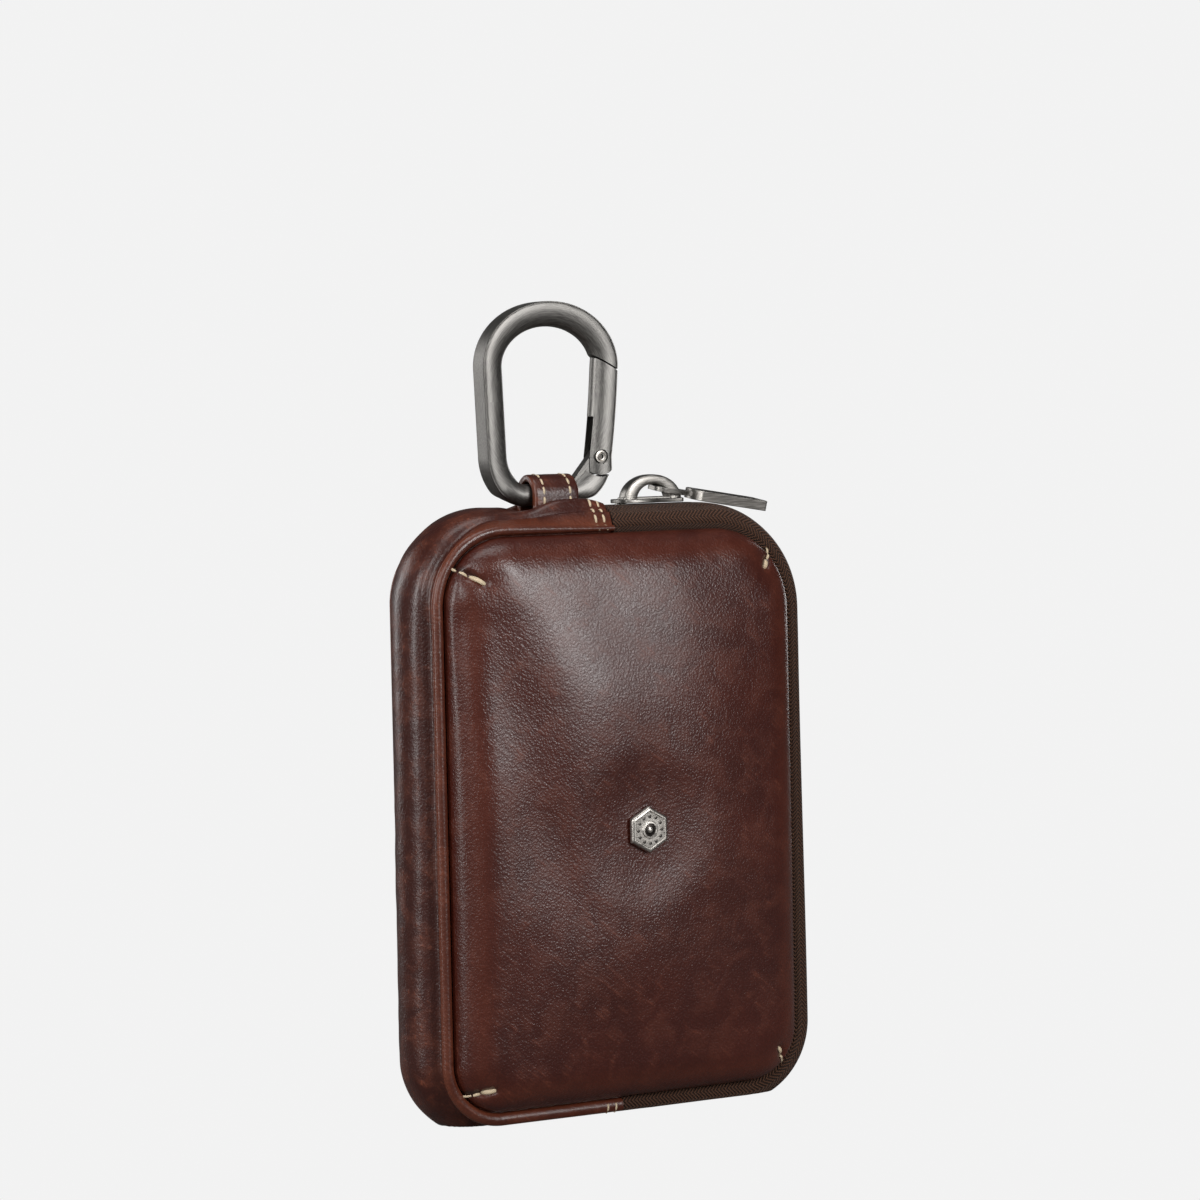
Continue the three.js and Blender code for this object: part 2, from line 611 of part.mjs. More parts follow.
function hookSection(station) {
  const half = HOOK_THICKNESS / 2;
  const rows = BAR_SECTION.map(({ out, deep }, i) => {
    const angle = Math.PI * (i + 0.5) / BAR_SECTION.length;
    return {
      out: mix(out * half, BAR_RADIUS * Math.cos(angle), station.round),
      y: mix(deep * HOOK_DEPTH / 2, BAR_RADIUS * Math.sin(angle), station.round),
    };
  });
  const outline = [...rows, ...rows.map(({ out, y }) => ({ out, y: -y })).reverse()];
  return {
    flat: outline.map(({ out, y }) => new THREE.Vector2(out, y)),
    points: outline.map(({ out, y }) => new THREE.Vector3(
      barX + station.x + station.outX * out, y, barZ + station.z + station.outZ * out)),
  };
}

// Outline that the gate fills, grown by a margin: round about its hinge, slanted at its tip
function gateRoom(margin) {
  const radius = GATE_END_RADIUS + margin;
  const tip = (x) => GATE_CUT_Z + margin - GATE_CUT_SLOPE * (x - noseX);
  const x = hingeX;
  const shape = new THREE.Shape();
  shape.moveTo(barX + x - radius, barZ + hingeZ);
  shape.absarc(barX + x, barZ + hingeZ, radius, Math.PI, 2 * Math.PI, false);
  const outside = noseX + HOOK_THICKNESS;
  shape.lineTo(barX + outside, barZ + hingeZ + radius);
  shape.lineTo(barX + outside, barZ + tip(outside));
  shape.lineTo(barX + x - radius, barZ + tip(x - radius));
  return toSolid(uprightPlate(shape, 2 * HOOK_DEPTH, 0, 12));
}

function hingeBore(radius, length, middleY = 0) {
  const bore = new THREE.CylinderGeometry(radius, radius, length, 16);
  bore.translate(barX + hingeX, middleY, barZ + hingeZ);
  return toSolid(bore);
}

// Hook body: the bent bar, opened for the gate, with a thin tongue that reaches to the gate's hinge
function makeHookBody() {
  const bar = toSolid(loftSections(hookLine().map(hookSection)));
  const tongue = new THREE.Shape();
  const [startX, startZ] = [hingeX - 5.2, hingeZ - 6.1];
  const lean = Math.atan2(hingeZ - startZ, hingeX - startX);
  tongue.absarc(barX + startX, barZ + startZ, TONGUE_RADIUS, lean + quarter, lean + 3 * quarter, false);
  tongue.absarc(barX + hingeX, barZ + hingeZ, TONGUE_RADIUS, lean - quarter, lean + quarter, false);
  const plate = toSolid(uprightPlate(tongue, TONGUE_THICKNESS));
  return toGeometry(bar.subtract(gateRoom(GATE_GAP)).add(plate)
    .subtract(hingeBore(SCREW_RADIUS + GAP, 2 * HOOK_DEPTH)));
}

// Gate: the same bar section, slotted on its inner side for the tongue
function makeGate() {
  const stations = [-0.8, 0, 0.33, 0.67, 1, 1.2].map((share) => {
    const along = Math.max(0, share);
    const bow = 0.25 * Math.sin(Math.PI * THREE.MathUtils.clamp(share, 0, 1));
    const z = share < 0 ? hingeZ + share * 2 * GATE_END_RADIUS : mix(hingeZ, HOOK_TOP_Z, share);
    return { x: mix(hingeX, noseX, along) + bow, z, outX: 1, outZ: 0, round: 0 };
  });
  const bar = toSolid(loftSections(stations.map(hookSection)));
  const slotFar = hingeX + TONGUE_RADIUS + GAP;
  const slotNear = hingeX - HOOK_THICKNESS;
  const slotLow = hingeZ - 2 * GATE_END_RADIUS;
  const slotHigh = hingeZ + SLOT_LENGTH;
  const slot = new THREE.BoxGeometry(slotFar - slotNear, TONGUE_THICKNESS + 2 * GAP, slotHigh - slotLow);
  slot.translate(barX + (slotFar + slotNear) / 2, 0, barZ + (slotHigh + slotLow) / 2);
  const seatDepth = SCREW_HEAD_THICKNESS + GAP;
  const seatY = HOOK_DEPTH / 2 - seatDepth / 2 + GAP;
  return toGeometry(bar.intersect(gateRoom(0)).subtract(toSolid(slot))
    .subtract(hingeBore(SCREW_RADIUS + GAP, 2 * HOOK_DEPTH))
    .subtract(hingeBore(SCREW_HEAD_RADIUS + GAP, seatDepth + 2 * GAP, seatY))
    .subtract(hingeBore(SCREW_HEAD_RADIUS + GAP, seatDepth + 2 * GAP, -seatY)));
}

// Screw through the gate's cheeks and the tongue, with a round socket in its front head
function makeScrew() {
  const end = HOOK_DEPTH / 2;
  const neck = end - SCREW_HEAD_THICKNESS;
  const socket = 0.45 * SCREW_HEAD_RADIUS;
  const profile = [
    [0, -neck], [socket, -neck], [socket, -end], [SCREW_HEAD_RADIUS, -end], [SCREW_HEAD_RADIUS, -neck],
    [SCREW_RADIUS, -neck], [SCREW_RADIUS, neck], [SCREW_HEAD_RADIUS, neck], [SCREW_HEAD_RADIUS, end],
    [0, end],
  ];
  const points = profile.map(([r, y]) => new THREE.Vector2(r, y));
  const geometry = new THREE.LatheGeometry(points, 16);
  geometry.translate(barX + hingeX, 0, barZ + hingeZ);
  return geometry;
}

// Slider: a top plate on the tapes, a neck through the slit, a plate under the coil and an arch
const archX = SLIDER_START + SLIDER_LENGTH / 2 + 0.8;

function sliderOutline(start, length, width, tailWidth) {
  const shape = new THREE.Shape();
  const [half, tail] = [width / 2, tailWidth / 2];
  shape.moveTo(start, -0.7 * half);
  shape.lineTo(start + 0.12 * length, -half);
  shape.lineTo(start + 0.5 * length, -half);
  shape.lineTo(start + 0.62 * length, -tail);
  shape.lineTo(start + length, -tail);
  shape.lineTo(start + length, tail);
  shape.lineTo(start + 0.62 * length, tail);
  shape.lineTo(start + 0.5 * length, half);
  shape.lineTo(start + 0.12 * length, half);
  shape.lineTo(start, 0.7 * half);
  return shape;
}

function makeSlider() {
  const plateZ = tapeTop + GAP;
  const lowTop = tapeTop - TAPE - COIL_THICKNESS - 2 * GAP;
  const outline = sliderOutline(SLIDER_START, SLIDER_LENGTH, SLIDER_WIDTH, SLIDER_TAIL_WIDTH);
  const top = toSolid(flatPlate(outline, SLIDER_PLATE, plateZ, 0.2));
  const low = toSolid(flatPlate(outline, SLIDER_PLATE, lowTop - SLIDER_PLATE, 0.2));
  const neckHeight = plateZ - lowTop + SLIDER_PLATE;
  const neck = new THREE.BoxGeometry(SLIDER_NECK_LENGTH, SLIDER_NECK_WIDTH, neckHeight);
  neck.translate(SLIDER_START + SLIDER_NECK_LENGTH / 2, 0, lowTop + neckHeight / 2 - SLIDER_PLATE / 2);
  const arch = new THREE.Shape();
  arch.moveTo(archX + ARCH_LENGTH / 2, sliderTopZ - SLIDER_PLATE / 2);
  arch.absellipse(archX, sliderTopZ, ARCH_LENGTH / 2, ARCH_RISE, 0, Math.PI, false);
  arch.lineTo(archX - ARCH_LENGTH / 2, sliderTopZ - SLIDER_PLATE / 2);
  const eye = new THREE.Shape();
  eye.absellipse(archX, sliderTopZ, ARCH_EYE_LENGTH / 2, ARCH_EYE_RISE, 0, Math.PI, false);
  const handle = toSolid(uprightPlate(arch, ARCH_WIDTH))
    .subtract(toSolid(uprightPlate(eye, 2 * ARCH_WIDTH)));
  return toGeometry(top.add(low).add(toSolid(neck)).add(handle));
}

// Pull: a flat ring through the arch, a neck and a thick plate, drooping from the arch onto the tape
const pullX = archX + 0.3 * ARCH_EYE_LENGTH / 2;
const eyeTopZ = sliderTopZ + ARCH_EYE_RISE * Math.sqrt(1 - 0.3 ** 2);
const rollLift = ARCH_WIDTH / 2 * Math.sin(PULL_ROLL);
const pullZ = eyeTopZ - GAP - PULL_RING_THICKNESS / 2 - rollLift;

function makePull() {
  const eyeHalf = ARCH_WIDTH / 2 + 2 * GAP;
  const ringHalf = eyeHalf + PULL_SIDE;
  const eyeStart = PULL_BAR / 2;
  const eyeEnd = eyeStart + PULL_EYE_LENGTH;
  const plateStart = PULL_LENGTH - PULL_PLATE_LENGTH;
  const neckHalf = PULL_NECK_WIDTH / 2;
  const ring = new THREE.Shape();
  ring.moveTo(-PULL_BAR / 2, -0.55 * ringHalf);
  ring.quadraticCurveTo(-PULL_BAR / 2, -ringHalf, eyeStart + PULL_BAR / 2, -ringHalf);
  ring.lineTo(eyeEnd - PULL_BAR, -ringHalf);
  ring.quadraticCurveTo(eyeEnd + PULL_BAR / 2, -ringHalf, eyeEnd + PULL_BAR, -neckHalf);
  ring.lineTo(plateStart + 1, -neckHalf);
  ring.lineTo(plateStart + 1, neckHalf);
  ring.lineTo(eyeEnd + PULL_BAR, neckHalf);
  ring.quadraticCurveTo(eyeEnd + PULL_BAR / 2, ringHalf, eyeEnd - PULL_BAR, ringHalf);
  ring.lineTo(eyeStart + PULL_BAR / 2, ringHalf);
  ring.quadraticCurveTo(-PULL_BAR / 2, ringHalf, -PULL_BAR / 2, 0.55 * ringHalf);
  const eye = new THREE.Path();
  eye.moveTo(eyeStart, -eyeHalf);
  eye.lineTo(eyeStart, eyeHalf);
  eye.lineTo(eyeEnd, eyeHalf);
  eye.lineTo(eyeEnd, -eyeHalf);
  ring.holes.push(eye);
  const ringSolid = toSolid(flatPlate(ring, PULL_RING_THICKNESS, -PULL_RING_THICKNESS / 2, 0.25));
  const plateHalf = PULL_PLATE_WIDTH / 2;
  const plate = new THREE.Shape();
  plate.moveTo(plateStart, -0.6 * plateHalf);
  plate.lineTo(plateStart + 1.4, -plateHalf);
  plate.lineTo(PULL_LENGTH - 0.8, -plateHalf);
  plate.lineTo(PULL_LENGTH, -plateHalf + 0.8);
  plate.lineTo(PULL_LENGTH, plateHalf - 0.8);
  plate.lineTo(PULL_LENGTH - 0.8, plateHalf);
  plate.lineTo(plateStart + 1.4, plateHalf);
  plate.lineTo(plateStart, 0.6 * plateHalf);
  const plateSolid = toSolid(flatPlate(plate, PULL_PLATE_THICKNESS, -PULL_PLATE_THICKNESS / 2, 0.3));
  return toGeometry(ringSolid.add(plateSolid));
}

// Materials
const finish = (color, roughness, metalness) => () =>
  new THREE.MeshStandardMaterial({ color, roughness, metalness });
const panelLeather = finish(0x47231a, 0.35, 0);
const bandLeather = finish(0x5a2e1e, 0.35, 0);
const zipTape = finish(0x3a2a20, 0.9, 0);
const zipCoil = finish(0x2b1d16, 0.5, 0);
const gunmetal = finish(0x6a6865, 0.35, 1);
const nickel = finish(0xa09c96, 0.3, 1);

const pouch = new THREE.Group();

function piece(name, geometry, material, parent = pouch) {
  const mesh = new THREE.Mesh(geometry, material());
  mesh.name = name;
  parent.add(mesh);
  return mesh;
}

piece('front_panel', makePanel(-1, 1), panelLeather);
piece('back_panel', makePanel(1, 0), panelLeather);
piece('leather_band', makeLeatherBand(), bandLeather);
piece('zip_tape_front', makeTape(-1), zipTape);
piece('zip_tape_back', makeTape(1), zipTape);
piece('zip_coil', makeCoil(), zipCoil);
piece('strap_loop', makeStrap(), bandLeather);
piece('hook_body', makeHookBody(), gunmetal);
piece('hook_gate', makeGate(), gunmetal);
piece('gate_screw', makeScrew(), nickel);
piece('zip_slider', makeSlider(), nickel);
piece('front_stud', makeStud(), nickel);

const pullHinge = new THREE.Group();
pullHinge.position.set(pullX, 0, pullZ);
pullHinge.rotation.set(PULL_ROLL, PULL_DROOP, 0, 'YXZ');
pouch.add(pullHinge);
piece('zip_pull', makePull(), nickel, pullHinge);

export default pouch;
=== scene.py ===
"""Looks of the zipped leather pouch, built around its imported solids."""

import json
import math

import bmesh
import bpy
import numpy as np
from mathutils import Matrix, Quaternion, Vector, noise


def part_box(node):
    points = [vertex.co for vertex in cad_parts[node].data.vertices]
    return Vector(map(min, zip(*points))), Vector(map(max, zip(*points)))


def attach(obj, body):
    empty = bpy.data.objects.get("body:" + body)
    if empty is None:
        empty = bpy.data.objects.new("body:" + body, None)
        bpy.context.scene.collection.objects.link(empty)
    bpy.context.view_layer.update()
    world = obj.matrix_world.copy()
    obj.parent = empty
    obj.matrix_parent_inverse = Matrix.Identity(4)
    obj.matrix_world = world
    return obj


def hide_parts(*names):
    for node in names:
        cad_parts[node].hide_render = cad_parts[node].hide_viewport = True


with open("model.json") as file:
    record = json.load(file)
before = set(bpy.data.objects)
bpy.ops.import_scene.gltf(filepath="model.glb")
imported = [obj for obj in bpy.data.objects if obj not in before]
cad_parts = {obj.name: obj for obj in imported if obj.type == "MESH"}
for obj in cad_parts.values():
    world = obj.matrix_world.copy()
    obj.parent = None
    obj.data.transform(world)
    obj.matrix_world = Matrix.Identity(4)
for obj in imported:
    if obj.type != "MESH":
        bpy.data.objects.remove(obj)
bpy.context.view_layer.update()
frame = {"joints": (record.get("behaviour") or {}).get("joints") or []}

# Sizes are in millimetres, as in the solids, until a mesh is made in metres.
MM = 0.001

# Gaps and walls
GAP = 0.3
LEATHER = 2
TAPE = 1.2

# Seam line
RADIUS_TOP_LEFT = 17
RADIUS_TOP_RIGHT = 21
RADIUS_BOTTOM_RIGHT = 14
RADIUS_BOTTOM_LEFT = 13
RIM_Y = 10.7

# Panels
SHOULDER_RISE = 7
SHOULDER_REACH = 10
PANEL_CROWN = 5
DIMPLE_DEPTH = 1.1
DIMPLE_REACH = 15
STUD_SEAT = 6.6

# Leather half of the band
RIDGE_WIDTH = 2.9
RIDGE_PROUD = 2.2
CHANNEL_RISE = 2.4
BAND_CROWN = 7.4
LEATHER_END_TOP = 1.1
LEATHER_END_BOTTOM = 2.2
HUMP_RISE = 2.9
HUMP_SHIFT = 2.9
SADDLE_RISE = 5.7
HOOK_ROOM = 0.5

# Strap loop and the bar that it holds
STRAP_WIDTH = 12.3
STRAP_THICKNESS = 1.8
BAR_RADIUS = 2.75
BAR_CLEARANCE = 0.5

# Zip half of the band
TAPE_CROWN = 6.1
COIL_WIDTH = 5
COIL_PITCH = 1.3

# Snap hook, measured along the middle of its bar from the strap's axis
HOOK_TOP_HALF_WIDTH = 15.8
HOOK_TOP_RISE = 13
HOOK_TOP_X = 0.3
HOOK_TOP_Z = 31.5
HOOK_LEFT_X = 6.5
HOOK_LEFT_REACH = 8.2
HOOK_LEFT_RISE = 10
HOOK_RIGHT_X = 4.5
HOOK_RIGHT_REACH = 9.3
HOOK_RIGHT_RISE = 9
HOOK_THICKNESS = 6.1
HOOK_DEPTH = 6
GATE_END_RADIUS = 4.5
GATE_GAP = 0.45
GATE_CUT_SLOPE = 0.58
GATE_CUT_Z = 31.9
TONGUE_RADIUS = 1.8
TONGUE_THICKNESS = 2.6
SLOT_LENGTH = 10
SCREW_HEAD_RADIUS = 1.6

# Places taken from the solids
panel_low, panel_high = [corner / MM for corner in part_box("front_panel")]
stud_low, stud_high = [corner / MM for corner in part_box("front_stud")]
slider_low, slider_high = [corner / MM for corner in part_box("zip_slider")]
strap_low, strap_high = [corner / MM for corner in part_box("strap_loop")]
joint_place = {joint["name"]: Vector(joint["pos_m"]) / MM for joint in frame["joints"]}
bar_x, _, bar_z = joint_place["hook_swing"]
gate_x, _, gate_z = joint_place["gate_open"]
pull_x, _, pull_z = joint_place["pull_swing"]
seam_half = panel_high.x + GAP
seam_top = panel_high.z + GAP
seam_lift = panel_low.z - GAP
seam_height = seam_top - seam_lift
stud_x = (stud_low.x + stud_high.x) / 2
stud_z = (stud_low.z + stud_high.z) / 2
loop_place = -bar_x
lip_y = RIM_Y - GAP
lip_reach = LEATHER + GAP
cavity_radius = BAR_RADIUS + BAR_CLEARANCE
saddle_half = cavity_radius + STRAP_THICKNESS + GAP


# Curves and blends


def mix(a, b, t):
    return a + (b - a) * t


def smooth(t):
    t = np.clip(t, 0, 1)
    return t * t * (3 - 2 * t)


def bump(distance, reach, power):
    return np.exp(-np.abs(distance / reach) ** power)


def swell_at(rows, share, column):
    """Value of one column at a share along the rows, eased from row to row."""
    at = np.array([row["at"] for row in rows])
    values = np.array([row[column] for row in rows])
    i = np.clip(np.searchsorted(at, share, side="right") - 1, 0, len(rows) - 2)
    return mix(values[i], values[i + 1], smooth((share - at[i]) / (at[i + 1] - at[i])))


def slack(x, z, size, seed):
    """Soft unevenness between -1 and 1, the same each run."""
    flat_x, flat_z = np.broadcast_arrays(x, z)
    values = [
        noise.noise(Vector((a / size, b / size, seed)))
        for a, b in zip(flat_x.ravel(), flat_z.ravel())
    ]
    return np.array(values).reshape(flat_x.shape)


def through(points, steps, closed=True):
    """Smooth curve through points, with that many steps between each two."""
    p = np.asarray(points, float)
    count = len(p)
    out = []
    spans = count if closed else count - 1
    for i in range(spans):
        pick = [(i + k) % count if closed else min(max(i + k, 0), count - 1) for k in (-1, 0, 1, 2)]
        a, b, c, d = p[pick]
        for step in range(steps):
            t = step / steps
            out.append(
                0.5 * (2 * b + (c - a) * t + (2 * a - 5 * b + 4 * c - d) * t**2
                       + (3 * b - a - 3 * c + d) * t**3)
            )
    if not closed:
        out.append(p[-1])
    return np.array(out)


# Seam line: from the top middle, left and down round to the top middle again

SEAM_CORNERS = [
    {"x": -1, "z": 1, "radius": RADIUS_TOP_LEFT, "from": 90},
    {"x": -1, "z": -1, "radius": RADIUS_BOTTOM_LEFT, "from": 180},
    {"x": 1, "z": -1, "radius": RADIUS_BOTTOM_RIGHT, "from": 270},
    {"x": 1, "z": 1, "radius": RADIUS_TOP_RIGHT, "from": 360},
]


def seam_pieces():
    """Straight stretches and corners in walking order, with the distance each starts at."""
    pieces = []
    at = 0.0
    place = np.array([0.0, seam_top])
    for corner in SEAM_CORNERS:
        radius = corner["radius"]
        z_edge = seam_top if corner["z"] > 0 else seam_lift
        centre = np.array([corner["x"] * (seam_half - radius), z_edge - corner["z"] * radius])
        start = math.radians(corner["from"])
        arc_start = centre + radius * np.array([math.cos(start), math.sin(start)])
        length = float(np.hypot(*(arc_start - place)))
        pieces.append({"at": at, "length": length, "start": place, "end": arc_start, "radius": 0})
        at += length
        pieces.append({"at": at, "length": radius * math.pi / 2, "start": centre, "from": start,
                       "radius": radius})
        at += radius * math.pi / 2
        end = start + math.pi / 2
        place = centre + radius * np.array([math.cos(end), math.sin(end)])
    pieces.append({"at": at, "length": place[0], "start": place,
                   "end": np.array([0.0, seam_top]), "radius": 0})
    return pieces


SEAM = seam_pieces()
seam_length = SEAM[-1]["at"] + SEAM[-1]["length"]
bottom_middle = SEAM[4]["at"] + seam_half - RADIUS_BOTTOM_LEFT
leather_start = LEATHER_END_TOP
leather_end = bottom_middle - LEATHER_END_BOTTOM
tape_start = seam_length + leather_start - GAP
tape_end = leather_end + GAP


def seam_at(distance):
    """x, z and the outward direction of the seam line at each distance along it."""
    d = np.mod(np.asarray(distance, float), seam_length)
    x, z, out_x, out_z = (np.zeros_like(d) for _ in range(4))
    for piece in SEAM:
        here = (d >= piece["at"]) & (d <= piece["at"] + piece["length"] + 1e-9)
        along = d[here] - piece["at"]
        if piece["radius"]:
            angle = piece["from"] + along / piece["radius"]
            out_x[here], out_z[here] = np.cos(angle), np.sin(angle)
            x[here] = piece["start"][0] + piece["radius"] * np.cos(angle)
            z[here] = piece["start"][1] + piece["radius"] * np.sin(angle)
        else:
            way = (piece["end"] - piece["start"]) / piece["length"]
            x[here] = piece["start"][0] + way[0] * along
            z[here] = piece["start"][1] + way[1] * along
            out_x[here], out_z[here] = way[1], -way[0]
    return x, z, out_x, out_z


def seam_depth(x, z):
    """How far each point of a panel lies inside the seam line."""
    middle_z = (seam_top + seam_lift) / 2
    depth = np.minimum(seam_half - np.abs(x), seam_height / 2 - np.abs(z - middle_z))
    for corner in SEAM_CORNERS:
        radius = corner["radius"]
        z_edge = seam_top if corner["z"] > 0 else seam_lift
        past_x = (x - corner["x"] * (seam_half - radius)) * corner["x"]
        past_z = (z - z_edge + corner["z"] * radius) * corner["z"]
        here = (past_x > 0) & (past_z > 0)
        depth = np.where(here, radius - np.hypot(past_x, past_z), depth)
    return depth


# Meshes


def new_piece(name, points, faces, body, node=None, lay=None, wear_and_shade=None, soft=180):
    """A piece in metres from points in millimetres. lay holds each point's place on the material, along
    and across, and the wear value gives each point's rubbed wear on leather and its painted shade in
    hollows on metal."""
    mesh = bpy.data.meshes.new(name)
    mesh.from_pydata((np.asarray(points) * MM).tolist(), [], faces)
    mesh.validate()
    if lay is not None:
        mesh.attributes.new("lay", "FLOAT_VECTOR", "POINT").data.foreach_set(
            "vector", np.column_stack([lay, np.zeros(len(lay))]).ravel())
    if wear_and_shade is not None:
        mesh.attributes.new("wear_and_shade", "FLOAT", "POINT").data.foreach_set("value", np.ravel(wear_and_shade))
    solid = bmesh.new()
    solid.from_mesh(mesh)
    bmesh.ops.recalc_face_normals(solid, faces=solid.faces)
    solid.to_mesh(mesh)
    solid.free()
    mesh.polygons.foreach_set("use_smooth", [True] * len(mesh.polygons))
    if soft < 180:
        mesh.set_sharp_from_angle(angle=math.radians(soft))
    piece = bpy.data.objects.new(name, mesh)
    bpy.context.scene.collection.objects.link(piece)
    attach(piece, body)
    if node:
        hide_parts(node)
    return piece


def band_faces(rings, count, first=0, wrap=True):
    """Faces between rings of points that follow each other."""
    faces = []
    steps = count if wrap else count - 1
    for ring in range(rings - 1):
        low = first + ring * count
        for i in range(steps):
            j = (i + 1) % count
            faces.append((low + i, low + j, low + count + j, low + count + i))
    return faces


def joined(parts):
    """One list of points and faces from several."""
    points, faces, first = [], [], 0
    for part_points, part_faces in parts:
        points.append(np.asarray(part_points, float))
        faces.extend(tuple(first + i for i in face) for face in part_faces)
        first += len(part_points)
    return np.concatenate(points), faces


def tube(sections, caps=True):
    """Points and faces of a solid through closed sections of equal count."""
    sections = np.asarray(sections)
    rings, count = sections.shape[:2]
    faces = band_faces(rings, count)
    if caps:
        faces.append(tuple(reversed(range(count))))
        faces.append(tuple((rings - 1) * count + i for i in range(count)))
    return sections.reshape(-1, 3), faces


def plate(outline, low, high):
    """Points and faces of a plate: a flat outline between two heights."""
    outline = np.asarray(outline, float)
    sections = [np.column_stack([outline, np.full(len(outline), z)]) for z in (low, high)]
    return tube(sections)


def soften(piece, width, angle=40, segments=3):
    """Rounds the edges of a hard piece."""
    bevel = piece.modifiers.new("edge", "BEVEL")
    bevel.width = width * MM
    bevel.segments = segments
    bevel.limit_method = "ANGLE"
    bevel.angle_limit = math.radians(angle)
    bevel.harden_normals = True
    return piece


# Shape of the leather band

LEATHER_ROWS = [
    {"at": 0, "ridge": 0.55, "channel": 1.9, "crown": 0.97},
    {"at": 0.14, "ridge": 0.9, "channel": 1.7, "crown": 0.93},
    {"at": 0.2, "ridge": 1, "channel": 1.2, "crown": 0.9},
    {"at": 0.32, "ridge": 1, "channel": 1, "crown": 0.96},
    {"at": 0.75, "ridge": 1, "channel": 1, "crown": 1.03},
    {"at": 0.83, "ridge": 1.1, "channel": 1, "crown": 0.94},
    {"at": 1, "ridge": 1.15, "channel": 1.3, "crown": 0.85},
]
PINCH_DEPTH = 0.7
PINCH_REACH = 0.9
BAND_SLACK = 0.16
BAND_STATIONS = 420


def leather_rise(distance, y):
    """Height of the band's leather over the seam line at distances along and depths y."""
    share = (distance - leather_start) / (leather_end - leather_start)
    channel = CHANNEL_RISE * swell_at(LEATHER_ROWS, share, "channel")
    crown = BAND_CROWN * swell_at(LEATHER_ROWS, share, "crown")
    sideways = distance - loop_place
    hump = HUMP_RISE * bump(sideways + HUMP_SHIFT, 0.8 * STRAP_WIDTH, 3)
    past = np.abs(sideways) - STRAP_WIDTH / 2
    full = np.where(sideways > 0, 0.16, 0.04) * STRAP_WIDTH
    none = np.where(sideways > 0, 0.65, 0.33) * STRAP_WIDTH
    width = np.abs(y)
    saddle = (1 - smooth((past - full) / (none - full))) * smooth((saddle_half + 0.75 - width) / 0.9)
    arch = np.maximum(0, 1 - (y / (0.79 * lip_y)) ** 2) ** 0.6
    dome = channel + (crown - channel) * arch
    rise = mix(dome, np.minimum(dome, SADDLE_RISE), saddle)
    lift = hump * bump(width - 0.67 * lip_y, 0.2 * lip_y, 2)
    pinch = PINCH_DEPTH * bump(width - 0.9 * lip_y, PINCH_REACH, 2) * swell_at(
        LEATHER_ROWS, share, "ridge") ** 3
    room = HOOK_ROOM * bump(sideways, 1.7 * STRAP_WIDTH, 4) * (width < 0.9 * lip_y)
    return rise + lift * (1 - saddle) - pinch - room


def leather_profile(distances, domes=30, rolls=12):
    """Outer points of the band's leather: v over the seam line and y, for each distance."""
    d = np.asarray(distances, float)[:, None]
    share = (d - leather_start) / (leather_end - leather_start)
    half = RIDGE_WIDTH * swell_at(LEATHER_ROWS, share, "ridge") / 2
    angle = np.pi * (1 - np.arange(rolls + 1) / rolls)[None]
    roll_v = half + half * np.cos(angle)
    roll_y = np.broadcast_to(
        -(lip_y + RIDGE_PROUD - RIDGE_WIDTH / 2) - RIDGE_WIDTH / 2 * np.sin(angle), roll_v.shape)
    widths = (0.94 * lip_y * (1 - np.arange(domes + 1) / domes))[None]
    dome_v = leather_rise(d, widths)
    dome_y = np.broadcast_to(-widths, dome_v.shape)
    lip = np.array([[-lip_reach, -lip_y], [-0.4, -lip_y], [0, -lip_y - 0.1]])
    lip_v = np.broadcast_to(lip[None, :, 0], (len(d), 3))
    lip_y_rows = np.broadcast_to(lip[None, :, 1], (len(d), 3))
    front_v = np.concatenate([lip_v, roll_v, dome_v], axis=1)
    front_y = np.concatenate([lip_y_rows, roll_y, dome_y], axis=1)
    v = np.concatenate([front_v, front_v[:, -2::-1]], axis=1)
    y = np.concatenate([front_y, -front_y[:, -2::-1]], axis=1)
    return v, y


def lay_out(distances, v, y, floor):
    """Points in space of a band's outline at each distance, with nothing under the floor."""
    x, z, out_x, out_z = seam_at(distances)
    points = np.empty((*v.shape, 3))
    points[..., 0] = x[:, None] + out_x[:, None] * v
    points[..., 1] = y
    points[..., 2] = np.maximum(z[:, None] + out_z[:, None] * v, floor)
    return points


def across_of(v, y):
    """Distance walked across a band's outline."""
    step = np.hypot(np.diff(v, axis=1), np.diff(y, axis=1))
    return np.concatenate([np.zeros((len(v), 1)), np.cumsum(step, axis=1)], axis=1)


